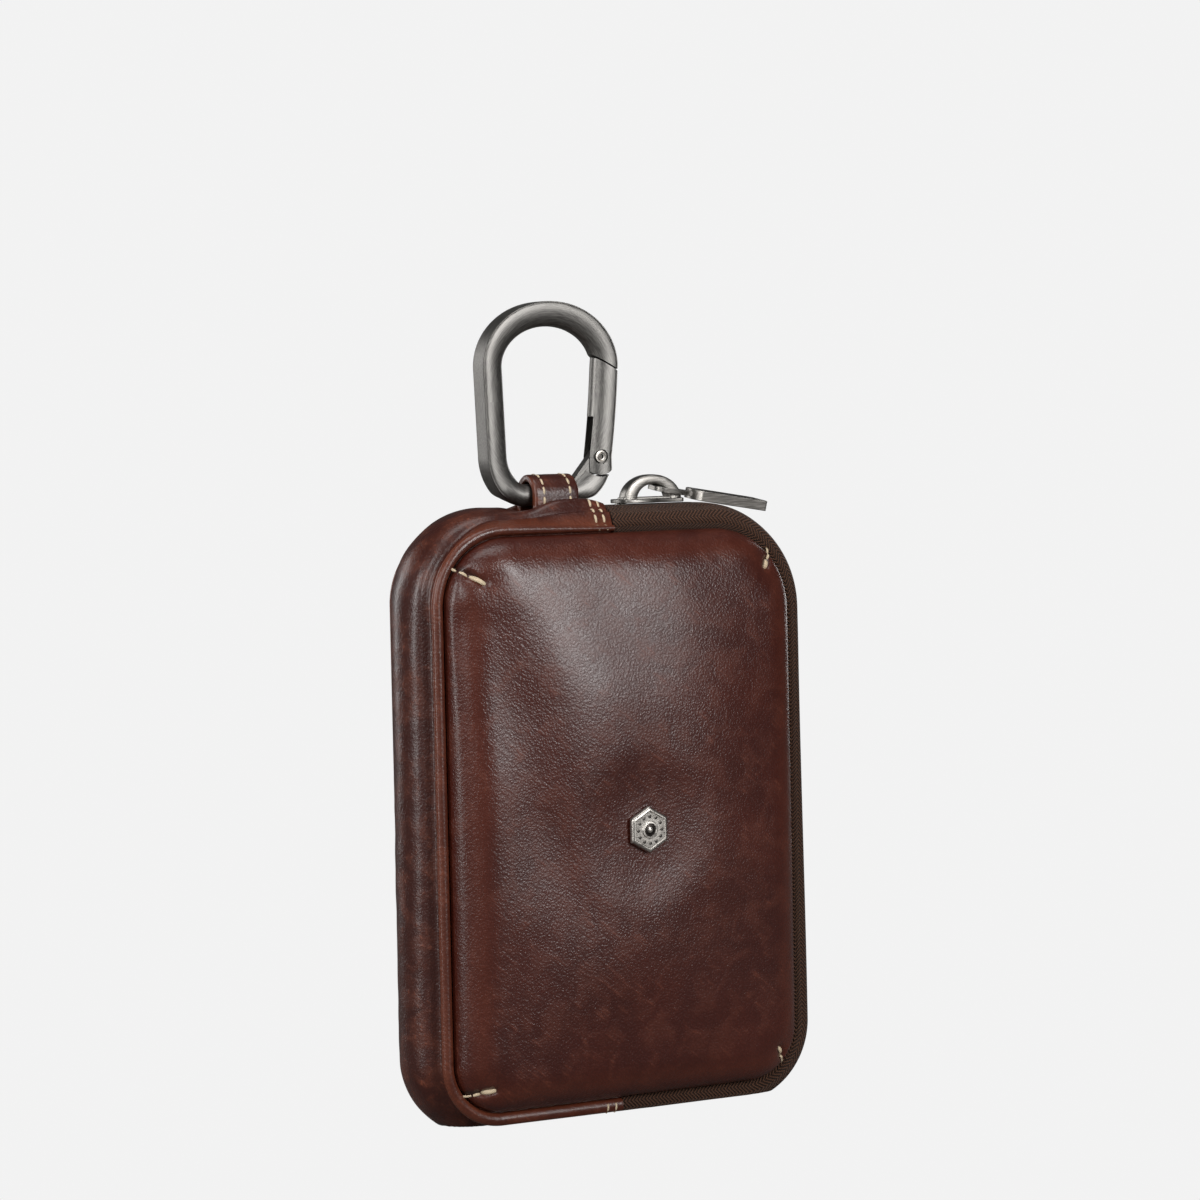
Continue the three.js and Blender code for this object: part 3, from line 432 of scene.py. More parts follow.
def make_leather_band():
    distances = np.linspace(leather_start, leather_end, BAND_STATIONS)
    v, y = leather_profile(distances)
    uneven = slack(distances[:, None], y * 1.4, 11, 3.0) + 0.6 * slack(distances[:, None], y, 5, 7.0)
    loose = 1 - bump(distances - loop_place, 2 * STRAP_WIDTH, 4)[:, None]
    v = v + np.where(np.abs(y) < 0.9 * lip_y, BAND_SLACK * loose * uneven, 0)
    outer = lay_out(distances, v, y, 0)
    inner_y = np.array([lip_y - LEATHER, 0.62 * lip_y, 0.3 * lip_y, 0, -0.3 * lip_y, -0.62 * lip_y,
                        -lip_y + LEATHER])
    inner_v = leather_rise(distances[:, None], inner_y[None]) - LEATHER - 0.3
    inner_v[:, [0, -1]] = -lip_reach
    inner = lay_out(distances, inner_v, np.broadcast_to(inner_y, inner_v.shape), LEATHER)
    points, faces = tube(np.concatenate([outer, inner], axis=1), caps=False)
    count = outer.shape[1] + inner.shape[1]
    for first in (0, (len(distances) - 1) * count):
        outside = [first + i for i in range(outer.shape[1])]
        inside = [first + outer.shape[1] + i for i in reversed(range(inner.shape[1]))]
        pairs = np.linspace(0, len(inside) - 1, len(outside)).round().astype(int)
        for i in range(len(outside) - 1):
            a, b = inside[pairs[i]], inside[pairs[i + 1]]
            face = [outside[i], outside[i + 1], b] + ([a] if a != b else [])
            faces.append(tuple(face))
    ridge = bump(np.abs(y) - lip_y - 0.6, 1.5, 4) * (np.abs(v) < 4)
    wear_and_shade = np.concatenate([ridge, np.zeros(inner_v.shape)], axis=1)
    across = np.concatenate([across_of(v, y), np.zeros(inner_v.shape)], axis=1)
    along = np.broadcast_to(distances[:, None], across.shape)
    lay = np.column_stack([along.ravel(), across.ravel()])
    return new_piece("band_leather", points, faces, "pouch", "leather_band",
                     lay=lay, wear_and_shade=wear_and_shade, soft=70)


# Zip tapes and coil

TAPE_ROWS = [
    {"at": 0, "crown": 1},
    {"at": 0.14, "crown": 1},
    {"at": 0.2, "crown": 0.93},
    {"at": 0.32, "crown": 0.97},
    {"at": 0.74, "crown": 1.12},
    {"at": 0.86, "crown": 1.02},
    {"at": 1, "crown": 0.9},
]
TAPE_OUTLINE = [
    {"rise": -0.06, "width": 1.01},
    {"rise": 0.03, "width": 1.05},
    {"rise": 0.28, "width": 1.1},
    {"rise": 0.56, "width": 1.06},
    {"rise": 0.78, "width": 0.96},
    {"rise": 0.9, "width": 0.81},
    {"rise": 0.97, "width": 0.6},
    {"rise": 1, "width": 0.32},
    {"rise": 1, "width": 0.12},
]
SLIT = 0.6
NECK_SLIT = 2.2
NECK_END = 9.4


def tape_crown(distance):
    share = (tape_start - distance) / (tape_start - tape_end)
    return TAPE_CROWN * swell_at(TAPE_ROWS, share, "crown")


def make_tape(side, name, node):
    distances = np.linspace(tape_end, tape_start, BAND_STATIONS)
    crown = tape_crown(distances)[:, None]
    rows = through([[row["rise"], row["width"]] for row in TAPE_OUTLINE], 4, closed=False)
    x = seam_length - distances
    slit = mix(NECK_SLIT, SLIT, smooth((x - NECK_END) / 2.6))[:, None] / 2
    v = crown * rows[None, :, 0]
    y = np.broadcast_to(lip_y * rows[None, :, 1], v.shape).copy()
    v = np.concatenate([v, crown, crown - TAPE], axis=1)
    y = np.concatenate([y, slit, slit], axis=1)
    back = [(0.97, 0.6), (0.8, 0.78), (0.3, 0.9), (-0.1, 0.86)]
    for rise, width in back:
        v = np.concatenate([v, crown * rise - TAPE * (rise > 0.7)], axis=1)
        y = np.concatenate([y, np.full_like(crown, width * lip_y)], axis=1)
    points, faces = tube(lay_out(distances, v, side * y, 0))
    across = across_of(v, y)
    lay = np.column_stack([np.broadcast_to(distances[:, None], across.shape).ravel(), across.ravel()])
    return new_piece(name, points, faces, "pouch", node, lay=lay, soft=60)


def make_coil():
    """Coil turns in a row, a raised rib for each."""
    start = seam_length - NECK_END
    turns = int((start - tape_end) / COIL_PITCH)
    distances = np.linspace(tape_end, start, 6 * turns)
    rib = 0.5 + 0.5 * np.cos(2 * np.pi * distances / COIL_PITCH)
    top = (tape_crown(distances) - TAPE - GAP)[:, None]
    half = COIL_WIDTH / 2
    outline = np.array([[-1, -0.5], [-0.92, -0.1], [-0.6, 0], [0.6, 0], [0.92, -0.1], [1, -0.5],
                        [0.8, -1], [-0.8, -1]])
    y = np.broadcast_to(half * outline[None, :, 0], (len(distances), 8))
    v = top + 1.3 * outline[None, :, 1] - 0.35 * (1 - rib)[:, None] * (outline[None, :, 1] > -0.6)
    points = lay_out(distances, v, y, 0)
    points[..., 2] = np.maximum(points[..., 2], TAPE + GAP + 1.3 * (1 + outline[None, :, 1]) * 0.5)
    points, faces = tube(points)
    lay = np.column_stack([np.repeat(distances, 8), y.ravel()])
    return new_piece("zip_coil_turns", points, faces, "pouch", "zip_coil", lay=lay, soft=60)


# Panels

# Sewn pinches in the corners of each panel, from the seam inwards: top left, bottom left,
# top right and bottom right
PINCHES = [
    {"x": -47.6, "z": 137.6, "to_x": -40.3, "to_z": 133.2},
    {"x": -47.4, "z": 9.0, "to_x": -40.2, "to_z": 10.0},
    {"x": 43.2, "z": 138.6, "to_x": 40.2, "to_z": 133.8},
    {"x": 44.6, "z": 7.2, "to_x": 42.0, "to_z": 11.6},
]
PINCH_FOLD_DEPTH = 1.5
PINCH_FOLD_REACH = 0.85
PINCH_PULL_DEPTH = 1.1
PINCH_PULL_REACH = 4.5
PANEL_SLACK = 0.5
BROAD_SLACK_SIZE = 26
FINE_SLACK_SIZE = 10
FINE_SLACK_SHARE = 0.1

# Left edge of the swell in a panel's middle, and the hollow beside it
SWELL_CREST = [{"x": -8, "z": 50}, {"x": -17, "z": 83}, {"x": -22, "z": 104}, {"x": -34, "z": 133}]
HOLLOW_DEPTH = 1.2
HOLLOW_ASIDE = 12
HOLLOW_REACH = 11
HOLLOW_LOW_Z = 35
HOLLOW_HIGH_Z = 134
FOLD_SHADE_WIDTH = 0.8
FOLD_SHADE_ASIDE = 0.35


def on_pinch(row, x, z):
    """Distances along and across a pinch, and its length."""
    start = np.array([row["x"], row["z"]])
    way = np.array([row["to_x"], row["to_z"]]) - start
    length = np.hypot(*way)
    way = way / length
    along = (x - start[0]) * way[0] + (z - start[1]) * way[1]
    across = (x - start[0]) * -way[1] + (z - start[1]) * way[0]
    return along, across, length


def pinch_depth(x, z):
    """How deep the corner pinches draw a panel in: a sharp fold with a soft hollow round it."""
    depth = np.zeros(np.broadcast(x, z).shape)
    for row in PINCHES:
        along, across, length = on_pinch(row, x, z)
        past = np.maximum(0, np.maximum(-along - 3, along - length))
        depth = depth + PINCH_FOLD_DEPTH * bump(across, PINCH_FOLD_REACH, 2) * bump(past, 1.2, 2)
        spread = PINCH_PULL_REACH * (0.5 + 0.5 * np.clip(along / length, 0, 1.6))
        reach = np.maximum(0, np.maximum(-along, along - length))
        depth = depth + PINCH_PULL_DEPTH * bump(across, spread, 2) * bump(reach, 4.5, 2)
    return depth


def fold_shade(x, z):
    """How much of each point lies in the dark of a corner pinch."""
    shade = np.zeros(np.shape(x))
    for row in PINCHES:
        along, across, length = on_pinch(row, x, z)
        width = FOLD_SHADE_WIDTH * np.clip(1.15 - along / length, 0.1, 1)
        inside = smooth((along + 3) / 1.5) * smooth((length - along) / 1.5)
        shade = shade + bump(across - FOLD_SHADE_ASIDE, width, 3) * inside
    return np.clip(shade, 0, 1)


def hollow_depth(x, z):
    """Soft hollow between the left shoulder and the swell of the middle."""
    crest_x = np.interp(z, [row["z"] for row in SWELL_CREST], [row["x"] for row in SWELL_CREST])
    reach = smooth((z - HOLLOW_LOW_Z) / 30) * smooth((HOLLOW_HIGH_Z - z) / 12)
    return HOLLOW_DEPTH * bump(x - crest_x + HOLLOW_ASIDE, HOLLOW_REACH, 2) * reach


def panel_rise(x, z, inward, dimple):
    share = np.clip(inward / SHOULDER_REACH, 0, 1)
    shoulder = SHOULDER_RISE * (1 - (1 - share) ** 2.2) ** (1 / 2.2)
    across_x = np.minimum(1, np.abs(x) / seam_half)
    across_z = np.minimum(1, np.abs(z - seam_top + seam_height / 2) / (seam_height / 2))
    crown = PANEL_CROWN * (1 - across_x**2.4) * (1 - across_z**2.8)
    from_stud = np.maximum(0, np.hypot(x - stud_x, z - stud_z) - STUD_SEAT)
    dent = dimple * DIMPLE_DEPTH * (1 - smooth(from_stud / DIMPLE_REACH))
    settle = smooth(inward / 3)
    return shoulder + crown - dent - (pinch_depth(x, z) + hollow_depth(x, z)) * settle


def panel_y(x, z, dimple=1):
    """Distance of a panel's outside from the middle plane at any place on it."""
    inward = seam_depth(np.asarray(x, float), np.asarray(z, float)) - GAP
    return RIM_Y + panel_rise(x, z, inward, dimple)


PANEL_WALL = LEATHER + 0.8
RING_SPACING = 0.9
SHOULDER_RINGS = 30
FACE_RINGS = 48


def make_panel(side, dimple, name, node):
    distances = np.concatenate([
        np.linspace(piece["at"], piece["at"] + piece["length"],
                    max(12, int(piece["length"] / RING_SPACING)), endpoint=False)
        for piece in SEAM
    ])
    x0, z0, out_x, out_z = seam_at(distances)
    rings = []
    for inward in SHOULDER_REACH * np.linspace(0, 1, SHOULDER_RINGS) ** 1.6:
        x = x0 - out_x * (inward + GAP)
        z = z0 - out_z * (inward + GAP)
        rings.append([x, z, np.full_like(x, inward)])
    x_edge, z_edge = rings[-1][0], rings[-1][1]
    angle = np.arctan2(z_edge - stud_z, x_edge - stud_x)
    for share in np.linspace(0, 1, FACE_RINGS)[1:]:
        x = mix(x_edge, stud_x + STUD_SEAT * np.cos(angle), share)
        z = mix(z_edge, stud_z + STUD_SEAT * np.sin(angle), share)
        rings.append([x, z, np.full_like(x, SHOULDER_REACH)])
    for share in (0.6, 0.25):
        x = stud_x + share * STUD_SEAT * np.cos(angle)
        z = stud_z + share * STUD_SEAT * np.sin(angle)
        rings.append([x, z, np.full_like(x, SHOULDER_REACH)])
    rings = np.array(rings)
    x, z, inward = rings[:, 0], rings[:, 1], rings[:, 2]
    rise = panel_rise(x, z, inward, dimple)
    soft = smooth(inward / SHOULDER_REACH)
    broad = slack(x, z, BROAD_SLACK_SIZE, 1.0 + side)
    fine = slack(x, z, FINE_SLACK_SIZE, 5.0 + side)
    rise = rise + PANEL_SLACK * soft * (broad + FINE_SLACK_SHARE * fine)
    seat = rise[-3].min()
    near_stud = np.hypot(x - stud_x, z - stud_z) <= STUD_SEAT + 0.01
    rise = np.where(near_stud & (dimple > 0), np.minimum(rise, seat), rise)
    outer = np.stack([x, side * (RIM_Y + rise), z], axis=-1)
    rim = np.stack([x0 - out_x * (LEATHER + GAP), np.full_like(x0, side * RIM_Y),
                    z0 - out_z * (LEATHER + GAP)], axis=-1)
    inner = []
    for share in (0.25, 1):
        reach = LEATHER + share * (SHOULDER_REACH - LEATHER)
        xi = x0 - out_x * (reach + GAP)
        zi = z0 - out_z * (reach + GAP)
        yi = RIM_Y + panel_rise(xi, zi, np.full_like(xi, reach), 0) - PANEL_WALL
        inner.append(np.stack([xi, side * yi, zi], axis=-1))
    sections = np.concatenate([np.array(inner)[::-1], rim[None], outer])
    count = len(x0)
    points = sections.reshape(-1, 3)
    faces = band_faces(len(sections), count)
    middle_y = side * (RIM_Y + rise[-1].mean())
    back_y = side * (RIM_Y + SHOULDER_RISE + 0.5)
    points = np.concatenate([points, [[stud_x, middle_y, stud_z], [stud_x, back_y, stud_z]]])
    last = (len(sections) - 1) * count
    top, under = len(points) - 2, len(points) - 1
    faces += [(last + i, last + (i + 1) % count, top) for i in range(count)]
    faces += [((i + 1) % count, i, under) for i in range(count)]
    wear_and_shade = np.zeros(len(points))
    outer_wear = bump(inward - 4.5, 2.6, 2) * 0.5
    first = 3 * count
    wear_and_shade[first:first + outer_wear.size] = outer_wear.ravel()
    piece = new_piece(name, points, faces, "pouch", node, wear_and_shade=wear_and_shade)
    shade = fold_shade(points[:, 0], points[:, 2])
    piece.data.attributes.new("fold", "FLOAT", "POINT").data.foreach_set("value", shade)
    return piece


# Stitches


def thread(start, end, outward, radius, steps=8, around=8):
    """Points and faces of one stitch: a bent thread whose ends sink into the leather."""
    start, end, outward = (np.asarray(v, float) for v in (start, end, outward))
    along = (end - start) / np.linalg.norm(end - start)
    side = np.cross(along, outward)
    side /= np.linalg.norm(side)
    up = np.cross(side, along)
    sections = []
    for i in range(steps + 1):
        t = i / steps
        body = math.sin(math.pi * min(max(t, 0.03), 0.97)) ** 0.5
        centre = mix(start, end, t) + up * radius * (1.25 * body - 0.75)
        ring = []
        for k in range(around):
            angle = 2 * math.pi * k / around
            width = radius * (0.55 + 0.5 * body)
            ring.append(centre + side * width * 1.15 * math.cos(angle)
                        + up * width * 0.8 * math.sin(angle))
        sections.append(ring)
    return tube(sections)


def stitches_along(path, outward, pitch, length, radius, start=0.0, stop=None):
    """Stitches at an even pitch along a path of points, with the outward direction at each."""
    path, outward = np.asarray(path, float), np.asarray(outward, float)
    walked = np.concatenate([[0], np.cumsum(np.linalg.norm(np.diff(path, axis=0), axis=1))])
    stop = walked[-1] if stop is None else stop

    def at(place, rows):
        return np.array([np.interp(place, walked, rows[:, k]) for k in range(3)])

    parts = []
    place = start
    while place + length <= stop:
        parts.append(thread(at(place, path), at(place + length, path),
                            at(place + length / 2, outward), radius))
        place += pitch
    return parts


def outward_of(path, inside):
    """Direction away from an inside point, at right angles to a path."""
    way = np.gradient(path, axis=0)
    away = path - inside
    away -= way * (np.sum(away * way, axis=1) / np.sum(way * way, axis=1))[:, None]
    return away / np.linalg.norm(away, axis=1)[:, None]


END_ROWS = [2.0, 4.3]
STITCH_PITCH = 2.75
STITCH_LENGTH = 2.15
STITCH_RADIUS = 0.3
ROW_POINTS = slice(8, 67)
ROW_START = 0.2
ROW_STOP = 13.4


def make_end_stitches():
    """Two rows over the band beside each end of its leather."""
    parts = []
    for end, way in ((leather_start, 1), (leather_end, -1)):
        for row in END_ROWS:
            distance = np.array([end + way * row])
            v, y = leather_profile(distance, domes=60, rolls=16)
            path = lay_out(distance, v, y, 0)[0]
            x, z, out_x, out_z = (float(value[0]) for value in seam_at(distance))
            inside = np.array([x - 3 * out_x, 0, z - 3 * out_z])
            outward = outward_of(path, inside)
            for half_path, half_outward in ((path, outward), (path[::-1], outward[::-1])):
                parts += stitches_along(half_path[ROW_POINTS], half_outward[ROW_POINTS],
                                        STITCH_PITCH, STITCH_LENGTH, STITCH_RADIUS,
                                        start=ROW_START, stop=ROW_STOP)
    points, faces = joined(parts)
    return new_piece("end_stitches", points, faces, "pouch")


PINCH_STITCHES = [
    {"from": 0.06, "to": 0.33, "radius": 0.3, "aside": 0.35},
    {"from": 0.38, "to": 0.64, "radius": 0.33, "aside": 0.3},
    {"from": 0.68, "to": 1.12, "radius": 0.55, "aside": 0.1},
]


def make_pinch_stitches(side, dimple, name):
    parts = []
    for row in PINCHES:
        start = np.array([row["x"], row["z"]])
        way = np.array([row["to_x"], row["to_z"]]) - start
        aside = np.array([way[1], -way[0]]) / np.hypot(*way)
        if aside[1] > 0:
            aside = -aside
        for stitch in PINCH_STITCHES:
            ends = []
            for share in (stitch["from"], stitch["to"]):
                x, z = start + way * share + aside * stitch["aside"]
                y = float(panel_y(x, z, dimple))
                ends.append(np.array([x, side * (y + 0.25), z]))
            x, z = (ends[0] + ends[1])[[0, 2]] / 2
            step = 0.6
            slope_x = float(panel_y(x + step, z, dimple) - panel_y(x - step, z, dimple)) / (2 * step)
            slope_z = float(panel_y(x, z + step, dimple) - panel_y(x, z - step, dimple)) / (2 * step)
            outward = np.array([-slope_x, side, -slope_z])
            parts.append(thread(ends[0], ends[1], outward, stitch["radius"]))
    points, faces = joined(parts)
    return new_piece(name, points, faces, "pouch")


# Strap loop

STRAP_ROWS_ASIDE = 2.5
STRAP_EDGE = [(0, 0.55), (0.12, 0.28), (0.4, 0.06), (0.8, 0)]


def strap_profile(radius, foot, count=40):
    angles = np.linspace(math.pi, 0, count)
    arc = np.column_stack([radius * np.cos(angles), bar_z + radius * np.sin(angles)])
    legs = np.linspace(foot, bar_z, 6, endpoint=False)
    left = np.column_stack([np.full(6, -radius), legs])
    right = np.column_stack([np.full(6, radius), legs[::-1]])
    return np.concatenate([left, arc, right])


def make_strap():
    foot = strap_low.z - 1.2
    outer_radius = cavity_radius + STRAP_THICKNESS
    places = [(x, inset) for x, inset in STRAP_EDGE]
    places += [(STRAP_WIDTH * share, 0) for share in (0.25, 0.5, 0.75)]
    places += [(STRAP_WIDTH - x, inset) for x, inset in reversed(STRAP_EDGE)]
    sections = []
    for along, inset in places:
        sewn = bump(min(along, STRAP_WIDTH - along) - STRAP_ROWS_ASIDE, 0.5, 2) * 0.12
        outer = strap_profile(outer_radius - inset - sewn, foot)
        inner = strap_profile(cavity_radius + 0.5 * inset, foot)[::-1]
        rows = np.concatenate([outer, inner])
        x = np.full(len(rows), strap_low.x + along)
        sections.append(np.column_stack([x, rows[:, 0], rows[:, 1]]))
    points, faces = tube(sections)
    lay = np.column_stack([points[:, 2], points[:, 0]])
    count = len(sections[0])
    edge = [1.0 if inset > 0.1 else 0.0 for _, inset in places]
    wear_and_shade = np.repeat(edge, count)
    new_piece("strap_leather", points, faces, "pouch", "strap_loop", lay=lay,
              wear_and_shade=wear_and_shade, soft=60)
    parts = []
    for x in (strap_low.x + STRAP_ROWS_ASIDE, strap_high.x - STRAP_ROWS_ASIDE):
        rows = strap_profile(outer_radius - 0.05, strap_low.z)
        path = np.column_stack([np.full(len(rows), x), rows[:, 0], rows[:, 1]])
        outward = outward_of(path, np.array([x, 0, bar_z - 1]))
        parts += stitches_along(path, outward, 2.5, 1.95, 0.27, start=0.9)
    points, faces = joined(parts)
    return new_piece("strap_stitches", points, faces, "pouch")


# Snap hook

hinge_x = gate_x - bar_x
hinge_z = gate_z - bar_z
nose_x = HOOK_TOP_X + HOOK_TOP_HALF_WIDTH
BAR_SECTION = [
    {"out": 1, "deep": 0.78}, {"out": 0.93, "deep": 0.93}, {"out": 0.72, "deep": 1},
    {"out": 0.25, "deep": 1}, {"out": -0.3, "deep": 0.88}, {"out": -0.75, "deep": 0.62},
    {"out": -1, "deep": 0.25},
]


def hook_line(fine=5):
    """Middle line of the bar: x, z, outward direction and how round the bar is there."""
    line = []

    def add_arc(centre_x, centre_z, reach, rise, start, end, count, round_at):
        for i in range(count + 1):
            angle = math.radians(mix(start, end, i / count))
            c, s = math.cos(angle), math.sin(angle)
            out = np.array([c / reach, s / rise])
            out /= np.hypot(*out)
            line.append([centre_x + reach * c, centre_z + rise * s, *out, round_at(i / count)])

    line.append([nose_x - 0.1 * HOOK_THICKNESS, HOOK_TOP_Z - 0.8 * HOOK_THICKNESS, 0.995, -0.1, 0])
    add_arc(HOOK_TOP_X, HOOK_TOP_Z, HOOK_TOP_HALF_WIDTH, HOOK_TOP_RISE, 0, 180, 15 * fine,
            lambda t: 0)
    left_top, left_low = HOOK_TOP_X - HOOK_TOP_HALF_WIDTH, -HOOK_LEFT_X - HOOK_LEFT_REACH
    lean = (left_low - left_top) / (HOOK_TOP_Z - HOOK_LEFT_RISE)
    for share in np.linspace(0, 1, 12)[1:-1]:
        line.append([mix(left_top, left_low, share), mix(HOOK_TOP_Z, HOOK_LEFT_RISE, share),
                     -1 / math.hypot(1, lean), -lean / math.hypot(1, lean), 0])
    add_arc(-HOOK_LEFT_X, HOOK_LEFT_RISE, HOOK_LEFT_REACH, HOOK_LEFT_RISE, 180, 270, 8 * fine,
            lambda t: float(smooth((t - 0.5) / 0.3)))
    add_arc(HOOK_RIGHT_X, HOOK_RIGHT_RISE, HOOK_RIGHT_REACH, HOOK_RIGHT_RISE, 270, 360, 8 * fine,
            lambda t: 1 - float(smooth((t - 0.15) / 0.3)))
    return np.array(line)


def bar_sections(line):
    half = HOOK_THICKNESS / 2
    flat = np.array([[row["out"] * half, row["deep"] * HOOK_DEPTH / 2] for row in BAR_SECTION])
    flat = np.concatenate([flat, (flat * [1, -1])[::-1]])
    flat = through(flat, 4)
    angle = np.arctan2(flat[:, 1], flat[:, 0])
    circle = BAR_RADIUS * np.column_stack([np.cos(angle), np.sin(angle)])
    sections = []
    for x, z, out_x, out_z, rounded in line:
        rows = mix(flat, circle, rounded)
        sections.append(np.column_stack([
            bar_x + x + out_x * rows[:, 0], rows[:, 1], bar_z + z + out_z * rows[:, 0]]))
    return sections


def cutter(points, faces):
    """A shape that cuts or joins another, and isn't kept."""
    mesh = bpy.data.meshes.new("cutter")
    mesh.from_pydata((np.asarray(points) * MM).tolist(), [], faces)
    solid = bmesh.new()
    solid.from_mesh(mesh)
    bmesh.ops.recalc_face_normals(solid, faces=solid.faces)
    solid.to_mesh(mesh)
    solid.free()
    obj = bpy.data.objects.new("cutter", mesh)
    bpy.context.scene.collection.objects.link(obj)
    return obj


def worked(shape, steps):
    """Mesh of a shape after cuts, joins and crossings with others."""
    target = cutter(*shape)
    tools = []
    for operation, tool_shape in steps:
        tool = cutter(*tool_shape)
        modifier = target.modifiers.new("work", "BOOLEAN")
        modifier.operation = operation
        modifier.solver = "EXACT"
        modifier.object = tool
        tools.append(tool)
    bpy.context.view_layer.update()
    result = bpy.data.meshes.new_from_object(
        target.evaluated_get(bpy.context.evaluated_depsgraph_get()))
    for obj in [target, *tools]:
        mesh = obj.data
        bpy.data.objects.remove(obj)
        bpy.data.meshes.remove(mesh)
    return result


def hard_piece(name, mesh, body, node, angle=35):
    mesh.name = name
    mesh.polygons.foreach_set("use_smooth", [True] * len(mesh.polygons))
    mesh.set_sharp_from_angle(angle=math.radians(angle))
    piece = bpy.data.objects.new(name, mesh)
    bpy.context.scene.collection.objects.link(piece)
    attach(piece, body)
    if node:
        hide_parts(node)
    return piece


def upright(outline, thickness, middle=0.0):
    """Plate of an X-Z outline, evenly about a plane of constant Y."""
    outline = np.asarray(outline, float)
    sections = [
        np.column_stack([outline[:, 0], np.full(len(outline), middle + y), outline[:, 1]])
        for y in (-thickness / 2, thickness / 2)
    ]
    return tube(sections)


def arc(centre_x, centre_z, radius, start, end, count=24):
    angles = np.linspace(start, end, count + 1)
    return np.column_stack([centre_x + radius * np.cos(angles), centre_z + radius * np.sin(angles)])


def gate_room(margin):
    radius = GATE_END_RADIUS + margin
    outside = bar_x + nose_x + HOOK_THICKNESS

    def tip(x):
        return bar_z + GATE_CUT_Z + margin - GATE_CUT_SLOPE * (x - bar_x - nose_x)

    outline = np.concatenate([
        arc(gate_x, gate_z, radius, math.pi, 2 * math.pi, 36),
        [[outside, gate_z + radius], [outside, tip(outside)],
         [gate_x - radius, tip(gate_x - radius)]],
    ])
    return upright(outline, 2 * HOOK_DEPTH)


def bore(radius, length, middle=0.0):
    return upright(arc(gate_x, gate_z, radius, 0, 2 * math.pi, 32)[:-1], length, middle)


def make_hook_body():
    bar = tube(bar_sections(hook_line()))
    start_x, start_z = gate_x - 5.2, gate_z - 6.1
    lean = math.atan2(gate_z - start_z, gate_x - start_x)
    tongue = upright(np.concatenate([
        arc(start_x, start_z, TONGUE_RADIUS, lean + math.pi / 2, lean + 1.5 * math.pi),
        arc(gate_x, gate_z, TONGUE_RADIUS, lean - math.pi / 2, lean + math.pi / 2),
    ]), TONGUE_THICKNESS)
    mesh = worked(bar, [("DIFFERENCE", gate_room(GATE_GAP)), ("UNION", tongue),
                        ("DIFFERENCE", bore(1.1, 2 * HOOK_DEPTH))])
    return hard_piece("hook_bar", mesh, "hook", "hook_body")


def make_gate():
    line = []
    for share in np.concatenate([[-0.8], np.linspace(0, 1.2, 20)]):
        along = max(0, share)
        bow = 0.25 * math.sin(math.pi * min(max(share, 0), 1))
        z = hinge_z + share * 2 * GATE_END_RADIUS if share < 0 else mix(hinge_z, HOOK_TOP_Z, share)
        line.append([mix(hinge_x, nose_x, along) + bow, z, 1, 0, 0])
    bar = tube(bar_sections(line))
    slot_far = gate_x + TONGUE_RADIUS + GAP
    slot_near = gate_x - HOOK_THICKNESS
    low, high = gate_z - 2 * GATE_END_RADIUS, gate_z + SLOT_LENGTH
    slot = upright([[slot_near, low], [slot_far, low], [slot_far, high], [slot_near, high]],
                   TONGUE_THICKNESS + 2 * GAP)
    seat = 0.75
    seat_y = HOOK_DEPTH / 2 - seat / 2 + GAP
    mesh = worked(bar, [
        ("INTERSECT", gate_room(0)), ("DIFFERENCE", slot),
        ("DIFFERENCE", bore(SCREW_HEAD_RADIUS + 0.25, seat + 2 * GAP, seat_y)),
        ("DIFFERENCE", bore(SCREW_HEAD_RADIUS + 0.25, seat + 2 * GAP, -seat_y)),
    ])
    return hard_piece("gate_bar", mesh, "gate", "hook_gate")


# Screw through the gate: each row is a radius and a depth from its middle to its front
SCREW_ROWS = [
    {"radius": 0.01, "proud": 2.5}, {"radius": 0.55, "proud": 2.5}, {"radius": 0.62, "proud": 2.95},
    {"radius": 0.85, "proud": 3.0}, {"radius": 1.0, "proud": 2.85}, {"radius": 1.15, "proud": 3.0},
    {"radius": 1.5, "proud": 2.95}, {"radius": 1.6, "proud": 2.8}, {"radius": 1.6, "proud": 2.4},
    {"radius": 0.8, "proud": 2.4},
]


# Painted shade in the screw's socket and on the side of its head, where it sits in its seat
SCREW_CAVITY_SHADE = 0.9
SOCKET_RADIUS = 0.6


def make_screw():
    rows = [(row["radius"], -row["proud"]) for row in SCREW_ROWS]
    rows += [(row["radius"], row["proud"]) for row in reversed(SCREW_ROWS)]
    sections = []
    for radius, y in rows:
        ring = arc(gate_x, gate_z, radius, 0, 2 * math.pi, 32)[:-1]
        sections.append(np.column_stack([ring[:, 0], np.full(len(ring), y), ring[:, 1]]))
    points, faces = tube(sections)
    cavity_shade = np.repeat([SCREW_CAVITY_SHADE * (radius < SOCKET_RADIUS or radius == SCREW_HEAD_RADIUS)
                         for radius, _ in rows], len(ring))
    return new_piece("hinge_screw", points, faces, "hook", "gate_screw",
                     wear_and_shade=cavity_shade, soft=35)


# Slider and pull

ARCH_LENGTH = 16.4
ARCH_RISE = 6.3
ARCH_EYE_LENGTH = 9.2
ARCH_EYE_RISE = 3.9
ARCH_WIDTH = 3.6
SLIDER_PLATE = 1
PULL_DROOP = math.radians(9.4)
PULL_ROLL = math.radians(7)
PULL_LENGTH = 31.2
PULL_PLATE_LENGTH = 21
PULL_PLATE_WIDTH = 8.6
PULL_PLATE_THICKNESS = 2.6

# Half outline of the slider's top plate, as shares of its length and half width
SLIDER_OUTLINE = [
    {"at": 0.0, "wide": 0.62}, {"at": 0.04, "wide": 0.9}, {"at": 0.12, "wide": 1},
    {"at": 0.46, "wide": 1}, {"at": 0.53, "wide": 0.86}, {"at": 0.6, "wide": 0.74},
    {"at": 0.96, "wide": 0.74}, {"at": 1.0, "wide": 0.6},
]


